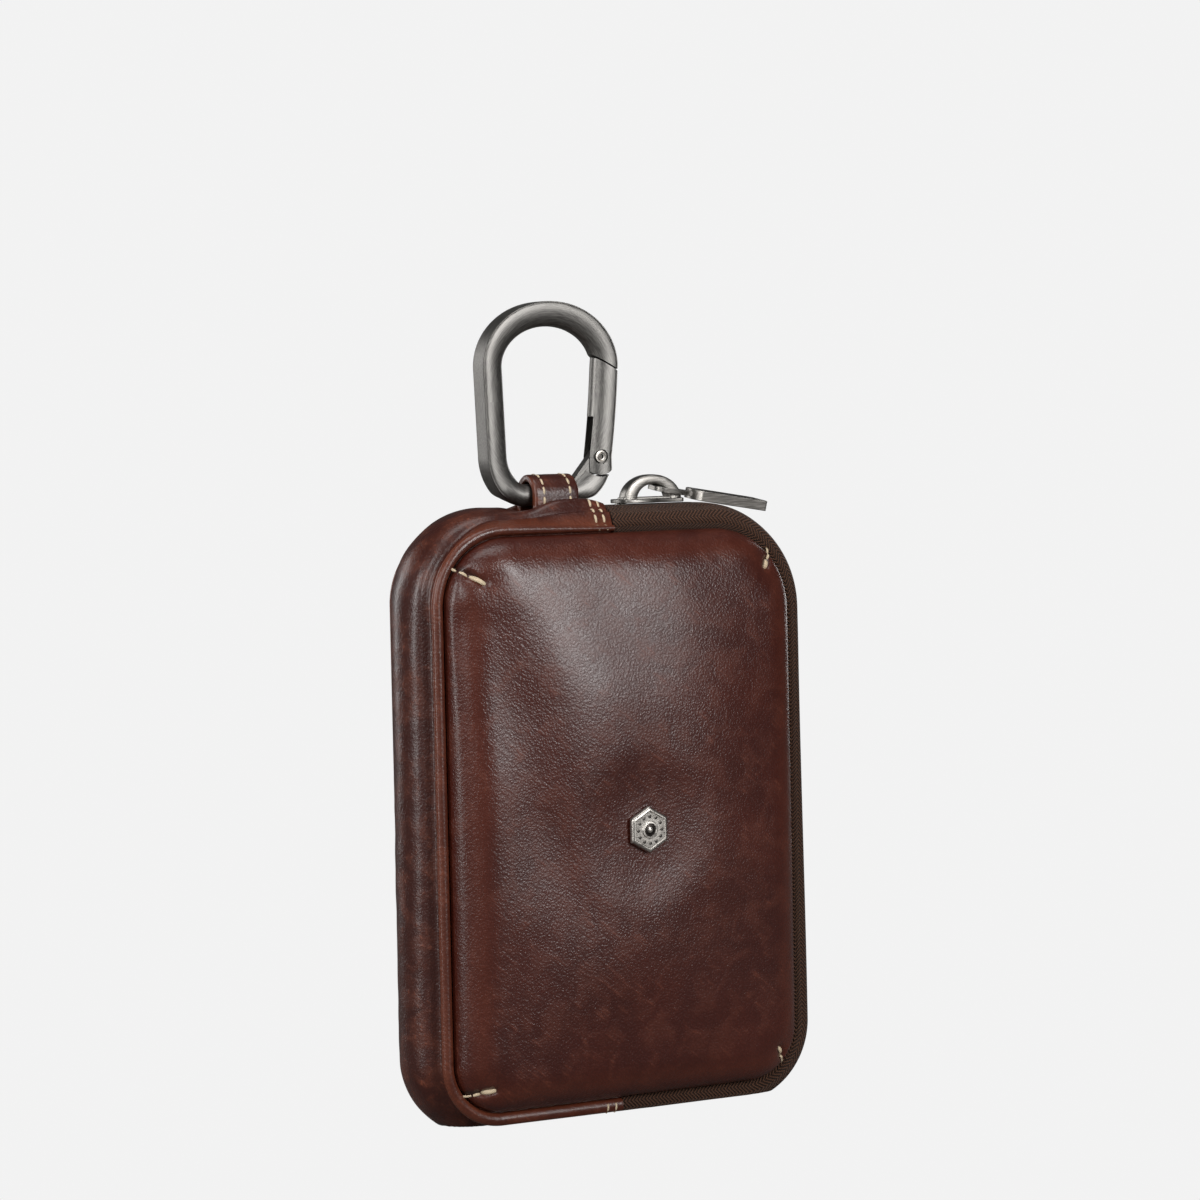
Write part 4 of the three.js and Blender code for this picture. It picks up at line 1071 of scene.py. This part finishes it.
def make_slider():
    length = slider_high.x - slider_low.x
    half = (slider_high.y - slider_low.y) / 2
    top = slider_high.z - ARCH_RISE
    edge = np.array([[slider_low.x + row["at"] * length, row["wide"] * half] for row in SLIDER_OUTLINE])
    outline = np.concatenate([edge * [1, -1], edge[::-1]])
    upper = plate(outline, top - SLIDER_PLATE, top)
    lower = plate(outline, slider_low.z, slider_low.z + SLIDER_PLATE)
    neck = plate([[slider_low.x, -0.8], [slider_low.x + 2.6, -0.8], [slider_low.x + 2.6, 0.8],
                  [slider_low.x, 0.8]], slider_low.z + 0.3, top - 0.3)
    rail = plate([[slider_low.x + 1.2, -1.6], [slider_high.x - 1.2, -1.6],
                  [slider_high.x - 1.2, 1.6], [slider_low.x + 1.2, 1.6]], top - 0.2, top + 0.45)
    points, faces = joined([upper, lower, neck, rail])
    base = new_piece("slider_plates", points, faces, "pouch", "zip_slider", soft=35)
    soften(base, 0.25)
    arch_x = slider_low.x + length / 2 + 0.8
    sections = []
    corner = through([[-1, -0.6], [-0.75, -1], [0.75, -1], [1, -0.6], [1, 0.6], [0.75, 1],
                      [-0.75, 1], [-1, 0.6]], 3)
    for angle in np.linspace(0, math.pi, 49):
        c, s = math.cos(angle), math.sin(angle)
        outer = np.array([ARCH_LENGTH / 2 * c, ARCH_RISE * s])
        inner = np.array([ARCH_EYE_LENGTH / 2 * c, ARCH_EYE_RISE * s])
        middle, reach = (outer + inner) / 2, (outer - inner) / 2
        place = middle + reach * corner[:, :1]
        sections.append(np.column_stack([
            arch_x + place[:, 0], ARCH_WIDTH / 2 * corner[:, 1], top - 0.3 + place[:, 1]]))
    points, faces = tube(sections)
    return new_piece("slider_arch", points, faces, "pouch", soft=50)


def on_pull(points):
    """Points of the pull, from its own drooped and rolled frame, in space."""
    turn = (Matrix.Rotation(PULL_DROOP, 3, "Y") @ Matrix.Rotation(PULL_ROLL, 3, "X"))
    return np.asarray(points) @ np.array(turn).T + np.array([pull_x, 0, pull_z])


# Half outline of the pull's ring and neck, x from its pivot and half width
RING_OUTLINE = [
    {"x": -0.8, "half": 0.0}, {"x": -0.8, "half": 1.6}, {"x": -0.2, "half": 2.9},
    {"x": 1.2, "half": 3.6}, {"x": 5.0, "half": 3.6}, {"x": 7.2, "half": 3.0},
    {"x": 8.6, "half": 1.9}, {"x": 9.9, "half": 1.8}, {"x": 11.6, "half": 2.2},
]
EYE_OUTLINE = [
    {"x": 0.8, "half": 0.0}, {"x": 0.9, "half": 2.2}, {"x": 1.6, "half": 2.4},
    {"x": 4.8, "half": 2.4}, {"x": 6.4, "half": 2.0}, {"x": 7.0, "half": 0.0},
]
RING_THICKNESS = 1.2


def make_pull():
    half = np.array([[row["x"], row["half"]] for row in RING_OUTLINE])
    curve = through(half, 4, closed=False)
    outline = np.concatenate([curve * [1, -1], curve[::-1][:-1]])
    eye_half = through(np.array([[row["x"], row["half"]] for row in EYE_OUTLINE]), 4, closed=False)
    eye = np.concatenate([eye_half * [1, -1], eye_half[::-1][1:-1]])
    ring_points, ring_faces = plate(outline, -RING_THICKNESS / 2, RING_THICKNESS / 2)
    eye_points, eye_faces = plate(eye, -RING_THICKNESS, RING_THICKNESS)
    mesh = worked((on_pull(ring_points), ring_faces), [("DIFFERENCE", (on_pull(eye_points), eye_faces))])
    ring = hard_piece("pull_ring", mesh, "pull", "zip_pull", angle=40)
    soften(ring, 0.28)
    start = PULL_LENGTH - PULL_PLATE_LENGTH
    wide = PULL_PLATE_WIDTH / 2
    thick = PULL_PLATE_THICKNESS / 2
    outline = [[start, -0.5 * wide], [start + 1.6, -wide], [PULL_LENGTH - 0.6, -wide],
               [PULL_LENGTH, -wide + 0.6], [PULL_LENGTH, wide - 0.6], [PULL_LENGTH - 0.6, wide],
               [start + 1.6, wide], [start, 0.5 * wide]]
    points, faces = plate(outline, -thick, thick)
    inset = 1.1
    panel = [[start + 3, -wide + inset], [PULL_LENGTH - inset, -wide + inset],
             [PULL_LENGTH - inset, wide - inset], [start + 3, wide - inset]]
    steps = []
    for low in (thick - 0.35, -thick - 0.65):
        cut_points, cut_faces = plate(panel, low, low + 1)
        steps.append(("DIFFERENCE", (on_pull(cut_points), cut_faces)))
    mesh = worked((on_pull(points), faces), steps)
    tab = hard_piece("pull_tab", mesh, "pull", None, angle=40)
    return soften(tab, 0.3)


# Stud: rings from its back edge to its middle; square is 1 for six-sided and 0 for round

# Darkened rows of the stud get painted shade in its hollow rings
STUD_ROWS = [
    {"reach": 0.9, "proud": 0.0, "square": 1}, {"reach": 1.0, "proud": 0.2, "square": 1},
    {"reach": 1.0, "proud": 0.95, "square": 1}, {"reach": 0.95, "proud": 1.4, "square": 1},
    {"reach": 0.88, "proud": 1.58, "square": 1}, {"reach": 0.82, "proud": 1.55, "square": 1},
    {"reach": 0.79, "proud": 1.36, "square": 1, "cavity_shade": 0.3},
    {"reach": 0.42, "proud": 1.36, "square": 0},
    {"reach": 0.38, "proud": 1.62, "square": 0}, {"reach": 0.3, "proud": 1.66, "square": 0},
    {"reach": 0.27, "proud": 1.4, "square": 0, "cavity_shade": 1},
    {"reach": 0.16, "proud": 1.42, "square": 0, "cavity_shade": 1},
    {"reach": 0.1, "proud": 1.68, "square": 0}, {"reach": 0.01, "proud": 1.7, "square": 0},
]
STUD_DOTS = 12


def make_stud():
    corner = (stud_high.z - stud_low.z) / 2
    angles = np.radians(90 + np.arange(0, 360, 5))
    fold = np.abs(((np.degrees(angles) - 90) % 60) - 30)
    hexagon = math.cos(math.radians(30)) / np.cos(np.radians(fold))
    sections = []
    for row in STUD_ROWS:
        reach = corner * row["reach"] * mix(np.full(len(angles), 0.93), hexagon, row["square"])
        sections.append(np.column_stack([
            stud_x + reach * np.cos(angles), np.full(len(angles), stud_high.y - row["proud"]),
            stud_z + reach * np.sin(angles)]))
    parts = [tube(sections)]
    for k in range(STUD_DOTS):
        angle = 2 * math.pi * k / STUD_DOTS
        place = 0.575 * corner
        x, z = stud_x + place * math.cos(angle), stud_z + place * math.sin(angle)
        dot = []
        for radius, proud in ((0.5, 1.3), (0.46, 1.4), (0.3, 1.43), (0.02, 1.44)):
            ring = arc(x, z, radius, 0, 2 * math.pi, 10)[:-1]
            dot.append(np.column_stack([ring[:, 0], np.full(len(ring), stud_high.y - proud), ring[:, 1]]))
        parts.append(tube(dot))
    points, faces = joined(parts)
    # Painted shade: the dots are dark so that they look sunk, and the hollow rings are darker as the rows
    # give
    cavity_shade = np.full(len(points), 0.85)
    cavity_shade[:len(STUD_ROWS) * len(angles)] = np.repeat(
        [row.get("cavity_shade", 0) for row in STUD_ROWS], len(angles))
    return new_piece("stud_cap", points, faces, "pouch", "front_stud", wear_and_shade=cavity_shade,
                     soft=40)


# Materials


def add(tree, kind, inputs=(), **settings):
    """A shader node with its settings, and its inputs as values or sockets."""
    node = tree.nodes.new("ShaderNode" + kind)
    for key, value in settings.items():
        setattr(node, key, value)
    for key, value in dict(inputs).items():
        socket = node.inputs[key]
        if isinstance(value, bpy.types.NodeSocket):
            tree.links.new(value, socket)
        else:
            socket.default_value = value
    return node


def math_node(tree, operation, a, b=0.0, c=0.0):
    return add(tree, "Math", {0: a, 1: b, 2: c}, operation=operation).outputs[0]


def mix_value(tree, factor, a, b):
    return add(tree, "Mix", {0: factor, 2: a, 3: b}, data_type="FLOAT").outputs[0]


def blend_colour(tree, factor, a, b, how="MIX"):
    node = add(tree, "Mix", {0: factor, 6: a, 7: b}, data_type="RGBA", blend_type=how)
    return node.outputs[2]


def eased(tree, value, low, high, to_low=0.0, to_high=1.0):
    node = add(tree, "MapRange", {0: value, 1: low, 2: high, 3: to_low, 4: to_high})
    node.interpolation_type = "SMOOTHSTEP"
    return node.outputs[0]


def new_group(name, inputs, outputs):
    group = bpy.data.node_groups.new(name, "ShaderNodeTree")
    for socket, kind, value in inputs:
        item = group.interface.new_socket(socket, in_out="INPUT", socket_type=kind)
        if value is not None:
            item.default_value = value
    for socket, kind in outputs:
        group.interface.new_socket(socket, in_out="OUTPUT", socket_type=kind)
    return group, group.nodes.new("NodeGroupInput"), group.nodes.new("NodeGroupOutput")


def leather_grain_group():
    """Pebbled grain: cells with fine creases between them, and finer pores on top."""
    group, given, out = new_group(
        "leather grain",
        [("Place", "NodeSocketVector", None), ("Size", "NodeSocketFloat", 0.7)],
        [("Height", "NodeSocketFloat"), ("Crease", "NodeSocketFloat")])
    frequency = math_node(group, "DIVIDE", 1.0, given.outputs["Size"])
    bend = add(group, "TexNoise", {"Vector": given.outputs["Place"], "Scale": 0.9, "Detail": 2.0})
    moved = add(group, "VectorMath", {0: bend.outputs["Color"], 1: (0.5, 0.5, 0.5)},
                operation="SUBTRACT").outputs[0]
    place = add(group, "VectorMath", {0: moved, 1: (0.5, 0.5, 0.5), 2: given.outputs["Place"]},
                operation="MULTIPLY_ADD").outputs[0]
    cells = add(group, "TexVoronoi", {"Vector": place, "Scale": frequency, "Smoothness": 0.25},
                feature="SMOOTH_F1")
    crease = eased(group, cells.outputs["Distance"], 0.75, 0.15)
    large = add(group, "TexNoise", {"Vector": place, "Scale": math_node(group, "MULTIPLY", frequency, 0.5),
                                    "Detail": 3.0})
    fine = add(group, "TexNoise", {"Vector": place, "Scale": math_node(group, "MULTIPLY", frequency, 3.0),
                                   "Detail": 2.0})
    height = math_node(group, "MULTIPLY_ADD", large.outputs[0], 0.6, crease)
    height = math_node(group, "MULTIPLY_ADD", fine.outputs[0], 0.35, height)
    group.links.new(height, out.inputs["Height"])
    group.links.new(crease, out.inputs["Crease"])
    return group


def leather_tone_group():
    """Uneven dye: broad clouds and small stains between 0 and 1."""
    group, given, out = new_group(
        "leather tone", [("Place", "NodeSocketVector", None), ("Size", "NodeSocketFloat", 28.0)],
        [("Cloud", "NodeSocketFloat"), ("Stain", "NodeSocketFloat")])
    frequency = math_node(group, "DIVIDE", 1.0, given.outputs["Size"])
    cloud = add(group, "TexNoise", {"Vector": given.outputs["Place"], "Scale": frequency,
                                    "Detail": 4.0, "Distortion": 0.6})
    stain = add(group, "TexNoise", {"Vector": given.outputs["Place"],
                                    "Scale": math_node(group, "MULTIPLY", frequency, 4.5),
                                    "Detail": 5.0, "Distortion": 0.8})
    group.links.new(eased(group, cloud.outputs[0], 0.32, 0.68), out.inputs["Cloud"])
    group.links.new(eased(group, stain.outputs[0], 0.4, 0.72), out.inputs["Stain"])
    return group


def fine_lines_group():
    """Fine lines, such as scuffs, creases or brushing, along the first axis of the place."""
    group, given, out = new_group(
        "fine lines", [("Place", "NodeSocketVector", None), ("Stretch", "NodeSocketFloat", 12.0),
                       ("Width", "NodeSocketFloat", 0.5)],
        [("Line", "NodeSocketFloat")])
    parts = add(group, "SeparateXYZ", {0: given.outputs["Place"]})
    along = math_node(group, "DIVIDE", parts.outputs[0], given.outputs["Stretch"])
    place = add(group, "CombineXYZ", {0: along, 1: parts.outputs[1], 2: parts.outputs[2]})
    frequency = math_node(group, "DIVIDE", 1.0, given.outputs["Width"])
    lines = add(group, "TexNoise", {"Vector": place.outputs[0], "Scale": frequency, "Detail": 3.0,
                                    "Distortion": 0.2})
    group.links.new(lines.outputs[0], out.inputs["Line"])
    return group


leather_grain = leather_grain_group()
leather_tone = leather_tone_group()
fine_lines = fine_lines_group()


def use(tree, group, inputs):
    node = tree.nodes.new("ShaderNodeGroup")
    node.node_tree = group
    for key, value in inputs.items():
        if isinstance(value, bpy.types.NodeSocket):
            tree.links.new(value, node.inputs[key])
        else:
            node.inputs[key].default_value = value
    return node.outputs


def new_material(name):
    material = bpy.data.materials.new(name)
    material.use_nodes = True
    tree = material.node_tree
    return material, tree, tree.nodes["Principled BSDF"]


def place_mm(tree, scale=(1000, 1000, 1000)):
    """Place on the piece in millimetres."""
    coordinates = add(tree, "TexCoord")
    return add(tree, "VectorMath", {0: coordinates.outputs["Object"], 1: scale},
               operation="MULTIPLY").outputs[0]


def attribute(tree, name, output="Fac"):
    return add(tree, "Attribute", attribute_name=name, attribute_type="GEOMETRY").outputs[output]


def bumps(tree, bsdf, layers):
    """Stacks heights, each with a strength and the depth that it stands for."""
    normal = None
    for height, strength, depth in layers:
        inputs = {"Height": height, "Strength": strength, "Distance": depth * MM}
        if normal is not None:
            inputs["Normal"] = normal
        normal = add(tree, "Bump", inputs).outputs[0]
    tree.links.new(normal, bsdf.inputs["Normal"])


def leather_material(name, deep, mid, rubbed, grain=0.75, grain_depth=0.1, rough=0.36):
    material, tree, bsdf = new_material(name)
    place = place_mm(tree)
    tone = use(tree, leather_tone, {"Place": place, "Size": 30.0})
    pebbles = use(tree, leather_grain, {"Place": place, "Size": grain})
    turned = add(tree, "Mapping", {"Vector": place, "Rotation": (0, math.radians(-38), 0)}).outputs[0]
    scuffs = use(tree, fine_lines, {"Place": turned, "Stretch": 14.0, "Width": 0.8})
    scuff = eased(tree, scuffs["Line"], 0.58, 0.66)
    scuff = math_node(tree, "MULTIPLY", scuff, tone["Stain"])
    colour = blend_colour(tree, tone["Cloud"], deep, mid)
    colour = blend_colour(tree, math_node(tree, "MULTIPLY", tone["Stain"], 0.35), colour, rubbed)
    colour = blend_colour(tree, math_node(tree, "MULTIPLY", attribute(tree, "wear_and_shade"), 0.65), colour, rubbed)
    colour = blend_colour(tree, attribute(tree, "fold"), colour, (0.012, 0.005, 0.0035, 1))
    colour = blend_colour(tree, math_node(tree, "MULTIPLY", scuff, 0.8), colour, rubbed)
    shade = eased(tree, pebbles["Crease"], 0.0, 1.0, 0.86, 1.0)
    colour = blend_colour(tree, 1.0, colour, add(tree, "CombineColor", {
        0: shade, 1: shade, 2: shade}).outputs[0], "MULTIPLY")
    tree.links.new(colour, bsdf.inputs["Base Color"])
    roughness = math_node(tree, "MULTIPLY_ADD", tone["Stain"], 0.07, rough)
    roughness = math_node(tree, "MULTIPLY_ADD", scuff, 0.1, roughness)
    tree.links.new(roughness, bsdf.inputs["Roughness"])
    bsdf.inputs["Specular IOR Level"].default_value = 0.32
    bsdf.inputs["Coat Weight"].default_value = 0.28
    bsdf.inputs["Coat Roughness"].default_value = 0.26
    bumps(tree, bsdf, [(tone["Stain"], 0.15, 0.12), (scuffs["Line"], 0.5, 0.14),
                       (pebbles["Height"], 1.0, grain_depth)])
    return material


def tape_material():
    """Herringbone weave: slanted ribs that turn back at each column, with painted shade and highlight."""
    material, tree, bsdf = new_material("woven zip tape")
    lay = add(tree, "SeparateXYZ", {0: attribute(tree, "lay", "Vector")})
    column = math_node(tree, "PINGPONG", lay.outputs[1], 1.7)
    slant = math_node(tree, "MULTIPLY_ADD", column, 1.0, lay.outputs[0])
    ribs = math_node(tree, "SINE", math_node(tree, "MULTIPLY", slant, 2 * math.pi / 1.0))
    yarns = math_node(tree, "SINE", math_node(tree, "MULTIPLY", lay.outputs[1], 2 * math.pi / 0.42))
    height = math_node(tree, "MULTIPLY_ADD", yarns, 0.35, ribs)
    fuzz = add(tree, "TexNoise", {"Vector": place_mm(tree), "Scale": 2.4, "Detail": 4.0}).outputs[0]
    # Colour follows the weave's height: painted shade in the grooves and painted highlight on the rib tops
    light = eased(tree, height, -1.2, 1.2)
    colour = blend_colour(tree, light, (0.008, 0.0038, 0.0024, 1), (0.11, 0.05, 0.028, 1))
    colour = blend_colour(tree, math_node(tree, "MULTIPLY", fuzz, 0.4), colour, (0.05, 0.026, 0.018, 1))
    tree.links.new(colour, bsdf.inputs["Base Color"])
    tree.links.new(math_node(tree, "MULTIPLY_ADD", fuzz, 0.2, 0.6), bsdf.inputs["Roughness"])
    bsdf.inputs["Specular IOR Level"].default_value = 0.15
    bsdf.inputs["Sheen Weight"].default_value = 0.04
    bsdf.inputs["Sheen Roughness"].default_value = 0.4
    bumps(tree, bsdf, [(height, 1.0, 0.2), (fuzz, 0.4, 0.08)])
    return material


def coil_material():
    material, tree, bsdf = new_material("moulded zip coil")
    lines = use(tree, fine_lines, {"Place": place_mm(tree), "Stretch": 1.0, "Width": 0.4})
    colour = blend_colour(tree, lines["Line"], (0.014, 0.008, 0.006, 1), (0.04, 0.022, 0.016, 1))
    tree.links.new(colour, bsdf.inputs["Base Color"])
    tree.links.new(math_node(tree, "MULTIPLY_ADD", lines["Line"], 0.2, 0.35), bsdf.inputs["Roughness"])
    bumps(tree, bsdf, [(lines["Line"], 0.3, 0.05)])
    return material


def thread_material():
    """Waxed cream thread with twisted strands."""
    material, tree, bsdf = new_material("cream thread")
    place = place_mm(tree)
    turned = add(tree, "Mapping", {"Vector": place, "Rotation": (0.6, 0.8, 0.4)}).outputs[0]
    twist = add(tree, "TexWave", {"Vector": turned, "Scale": 1.1, "Distortion": 1.5, "Detail": 2.0})
    stain = add(tree, "TexNoise", {"Vector": place, "Scale": 0.5, "Detail": 3.0}).outputs[0]
    colour = blend_colour(tree, twist.outputs["Fac"], (0.36, 0.27, 0.17, 1), (0.68, 0.56, 0.39, 1))
    colour = blend_colour(tree, eased(tree, stain, 0.55, 0.75, 0.0, 0.5), colour, (0.3, 0.17, 0.1, 1))
    tree.links.new(colour, bsdf.inputs["Base Color"])
    tree.links.new(eased(tree, stain, 0.3, 0.7, 0.55, 0.75), bsdf.inputs["Roughness"])
    bumps(tree, bsdf, [(twist.outputs["Fac"], 0.6, 0.08)])
    return material


def metal_material(name, dark, light, rough, round_the_hook=False):
    """Brushed metal, with fine lines that follow the bar where the hook bends."""
    material, tree, bsdf = new_material(name)
    place = place_mm(tree)
    if round_the_hook:
        parts = add(tree, "SeparateXYZ", {0: place})
        x = math_node(tree, "DIVIDE", math_node(tree, "SUBTRACT", parts.outputs[0], bar_x), 0.85)
        z = math_node(tree, "SUBTRACT", parts.outputs[2], bar_z + 23)
        reach = math_node(tree, "SQRT", math_node(
            tree, "MULTIPLY_ADD", x, x, math_node(tree, "MULTIPLY", z, z)))
        place = add(tree, "CombineXYZ", {0: math_node(tree, "MULTIPLY", math_node(
            tree, "ARCTAN2", z, x), 22.0), 1: reach, 2: parts.outputs[1]}).outputs[0]
    brushing = use(tree, fine_lines, {"Place": place, "Stretch": 26.0, "Width": 0.16})
    smudge = add(tree, "TexNoise", {"Vector": place_mm(tree), "Scale": 0.12, "Detail": 4.0}).outputs[0]
    streak = eased(tree, brushing["Line"], 0.35, 0.65)
    colour = blend_colour(tree, streak, dark, light)
    # Painted shade in the hollows of the stud and the screw, from the same value that gives the leather
    # its rubbed wear
    colour = blend_colour(tree, attribute(tree, "wear_and_shade"), colour, (0.035, 0.03, 0.027, 1))
    tree.links.new(colour, bsdf.inputs["Base Color"])
    bsdf.inputs["Metallic"].default_value = 1.0
    roughness = math_node(tree, "MULTIPLY_ADD", streak, 0.1, rough)
    roughness = math_node(tree, "MULTIPLY_ADD", smudge, 0.1, roughness)
    tree.links.new(roughness, bsdf.inputs["Roughness"])
    bumps(tree, bsdf, [(brushing["Line"], 0.25, 0.04)])
    return material


def dress(piece, material):
    piece.data.materials.clear()
    piece.data.materials.append(material)


# The pouch

DYES = {
    "panel": {"deep": (0.039, 0.0069, 0.0042, 1), "mid": (0.052, 0.0091, 0.005, 1),
              "rubbed": (0.1, 0.023, 0.011, 1)},
    "band": {"deep": (0.036, 0.0074, 0.0046, 1), "mid": (0.041, 0.0084, 0.005, 1),
             "rubbed": (0.15, 0.038, 0.017, 1)},
}
METALS = {
    "gunmetal": {"dark": (0.12, 0.115, 0.109, 1), "light": (0.22, 0.212, 0.2, 1)},
    "nickel": {"dark": (0.17, 0.16, 0.148, 1), "light": (0.3, 0.286, 0.266, 1)},
    "pewter": {"dark": (0.32, 0.3, 0.275, 1), "light": (0.48, 0.455, 0.42, 1)},
}
panel_leather = leather_material("waxed panel leather", **DYES["panel"], grain=0.6,
                                 grain_depth=0.042, rough=0.3)
band_leather = leather_material("waxed band leather", **DYES["band"], grain=0.65,
                                grain_depth=0.032, rough=0.32)
woven_tape = tape_material()
moulded_coil = coil_material()
cream_thread = thread_material()
gunmetal = metal_material("brushed gunmetal", **METALS["gunmetal"], rough=0.33,
                          round_the_hook=True)
nickel = metal_material("dark satin nickel", **METALS["nickel"], rough=0.25)
pewter = metal_material("worn pewter", **METALS["pewter"], rough=0.27)

dress(make_panel(-1, 1, "panel_front", "front_panel"), panel_leather)
dress(make_panel(1, 0, "panel_back", "back_panel"), panel_leather)
dress(make_leather_band(), band_leather)
dress(make_tape(-1, "tape_front", "zip_tape_front"), woven_tape)
dress(make_tape(1, "tape_back", "zip_tape_back"), woven_tape)
dress(make_coil(), moulded_coil)
dress(make_end_stitches(), cream_thread)
dress(make_pinch_stitches(-1, 1, "pinch_stitches_front"), cream_thread)
dress(make_pinch_stitches(1, 0, "pinch_stitches_back"), cream_thread)
dress(make_strap(), cream_thread)
dress(bpy.data.objects["strap_leather"], band_leather)
dress(make_hook_body(), gunmetal)
dress(make_gate(), gunmetal)
dress(make_screw(), pewter)
dress(make_slider(), nickel)
dress(bpy.data.objects["slider_plates"], nickel)
dress(make_pull(), nickel)
dress(bpy.data.objects["pull_ring"], nickel)
dress(make_stud(), pewter)


# Camera, floor and light

CAMERA_PLACE = Vector((-0.4500, -0.8022, 0.1753))
CAMERA_TURN = math.radians(29.36)
CAMERA_PITCH = math.radians(3.04)
CAMERA_ROLL = math.radians(-1.23)
CAMERA_LENS = 111


def make_camera():
    forward = Vector((math.sin(CAMERA_TURN) * math.cos(CAMERA_PITCH),
                      math.cos(CAMERA_TURN) * math.cos(CAMERA_PITCH), -math.sin(CAMERA_PITCH)))
    level = Vector((math.cos(CAMERA_TURN), -math.sin(CAMERA_TURN), 0))
    upward = level.cross(forward)
    right = math.cos(CAMERA_ROLL) * level + math.sin(CAMERA_ROLL) * upward
    up = -math.sin(CAMERA_ROLL) * level + math.cos(CAMERA_ROLL) * upward
    data = bpy.data.cameras.new("photo camera")
    data.lens = CAMERA_LENS
    data.sensor_width = 36
    data.clip_start = 0.01
    camera = bpy.data.objects.new("photo camera", data)
    turn = Matrix((right, up, -forward)).transposed().to_4x4()
    camera.matrix_world = Matrix.Translation(CAMERA_PLACE) @ turn
    bpy.context.scene.collection.objects.link(camera)
    bpy.context.scene.camera = camera


FLOOR_HALF_SIZE = 6.0
FLOOR_Z = -0.0005
BACKDROP_BRIGHTNESS = 0.89
WORLD_LIGHT = 0.07


def make_floor():
    """Pale flat floor, evenly bright to the eye."""
    half = FLOOR_HALF_SIZE
    mesh = bpy.data.meshes.new("floor")
    corners = [(x * half, y * half, FLOOR_Z) for x, y in ((-1, -1), (1, -1), (1, 1), (-1, 1))]
    mesh.from_pydata(corners, [], [(0, 1, 2, 3)])
    floor = bpy.data.objects.new("floor", mesh)
    bpy.context.scene.collection.objects.link(floor)
    material, tree, bsdf = new_material("pale floor")
    bsdf.inputs["Base Color"].default_value = (0.16, 0.155, 0.15, 1)
    bsdf.inputs["Roughness"].default_value = 0.9
    bsdf.inputs["Specular IOR Level"].default_value = 0.1
    path = add(tree, "LightPath")
    glow = add(tree, "Emission", {"Color": (1, 1, 1, 1), "Strength": BACKDROP_BRIGHTNESS})
    shown = add(tree, "MixShader", {0: path.outputs["Is Camera Ray"], 1: bsdf.outputs[0],
                                    2: glow.outputs[0]})
    tree.links.new(shown.outputs[0], tree.nodes["Material Output"].inputs["Surface"])
    dress(floor, material)


def make_world():
    world = bpy.data.worlds.new("studio")
    bpy.context.scene.world = world
    world.use_nodes = True
    tree = world.node_tree
    back = tree.nodes["Background"]
    path = add(tree, "LightPath")
    strength = mix_value(tree, path.outputs["Is Camera Ray"], WORLD_LIGHT, BACKDROP_BRIGHTNESS)
    back.inputs["Color"].default_value = (1, 1, 1, 1)
    tree.links.new(strength, back.inputs["Strength"])


# Soft boxes: place, the point each faces, its size in metres, its lean in degrees and its power
# in watts
SOFT_BOXES = [
    {"name": "key", "place": (0.38, -1.25, 0.5), "faces": (0, 0, 0.1), "wide": 0.2, "tall": 0.75,
     "lean": 24, "power": 12.5},
    {"name": "top", "place": (-0.1, -0.25, 1.25), "faces": (0, 0, 0.1), "wide": 0.9, "tall": 0.6,
     "power": 5.5},
    {"name": "left", "place": (-1.35, -0.2, 0.4), "faces": (0, 0, 0.08), "wide": 0.2, "tall": 1.1,
     "power": 11},
    {"name": "rear", "place": (-0.75, 1.25, 0.35), "faces": (0, 0, 0.08), "wide": 0.3, "tall": 1.0,
     "power": 5},
    {"name": "front", "place": (-0.95, -1.0, 0.7), "faces": (0, 0, 0.08), "wide": 0.14, "tall": 0.9,
     "power": 8},
    {"name": "back", "place": (1.15, 0.95, 0.35), "faces": (0, 0, 0.08), "wide": 0.5, "tall": 0.7,
     "power": 4},
]


def make_lights():
    for row in SOFT_BOXES:
        data = bpy.data.lights.new(row["name"] + " light", "AREA")
        data.shape = "RECTANGLE"
        data.size = row["wide"]
        data.size_y = row["tall"]
        data.energy = row["power"]
        light = bpy.data.objects.new(row["name"] + " light", data)
        light.location = row["place"]
        way = Vector(row["faces"]) - Vector(row["place"])
        lean = Quaternion((0, 0, 1), math.radians(row.get("lean", 0)))
        light.rotation_euler = (way.to_track_quat("-Z", "Y") @ lean).to_euler()
        bpy.context.scene.collection.objects.link(light)


make_camera()
make_floor()
make_world()
make_lights()
bpy.context.scene.view_settings.view_transform = "Standard"
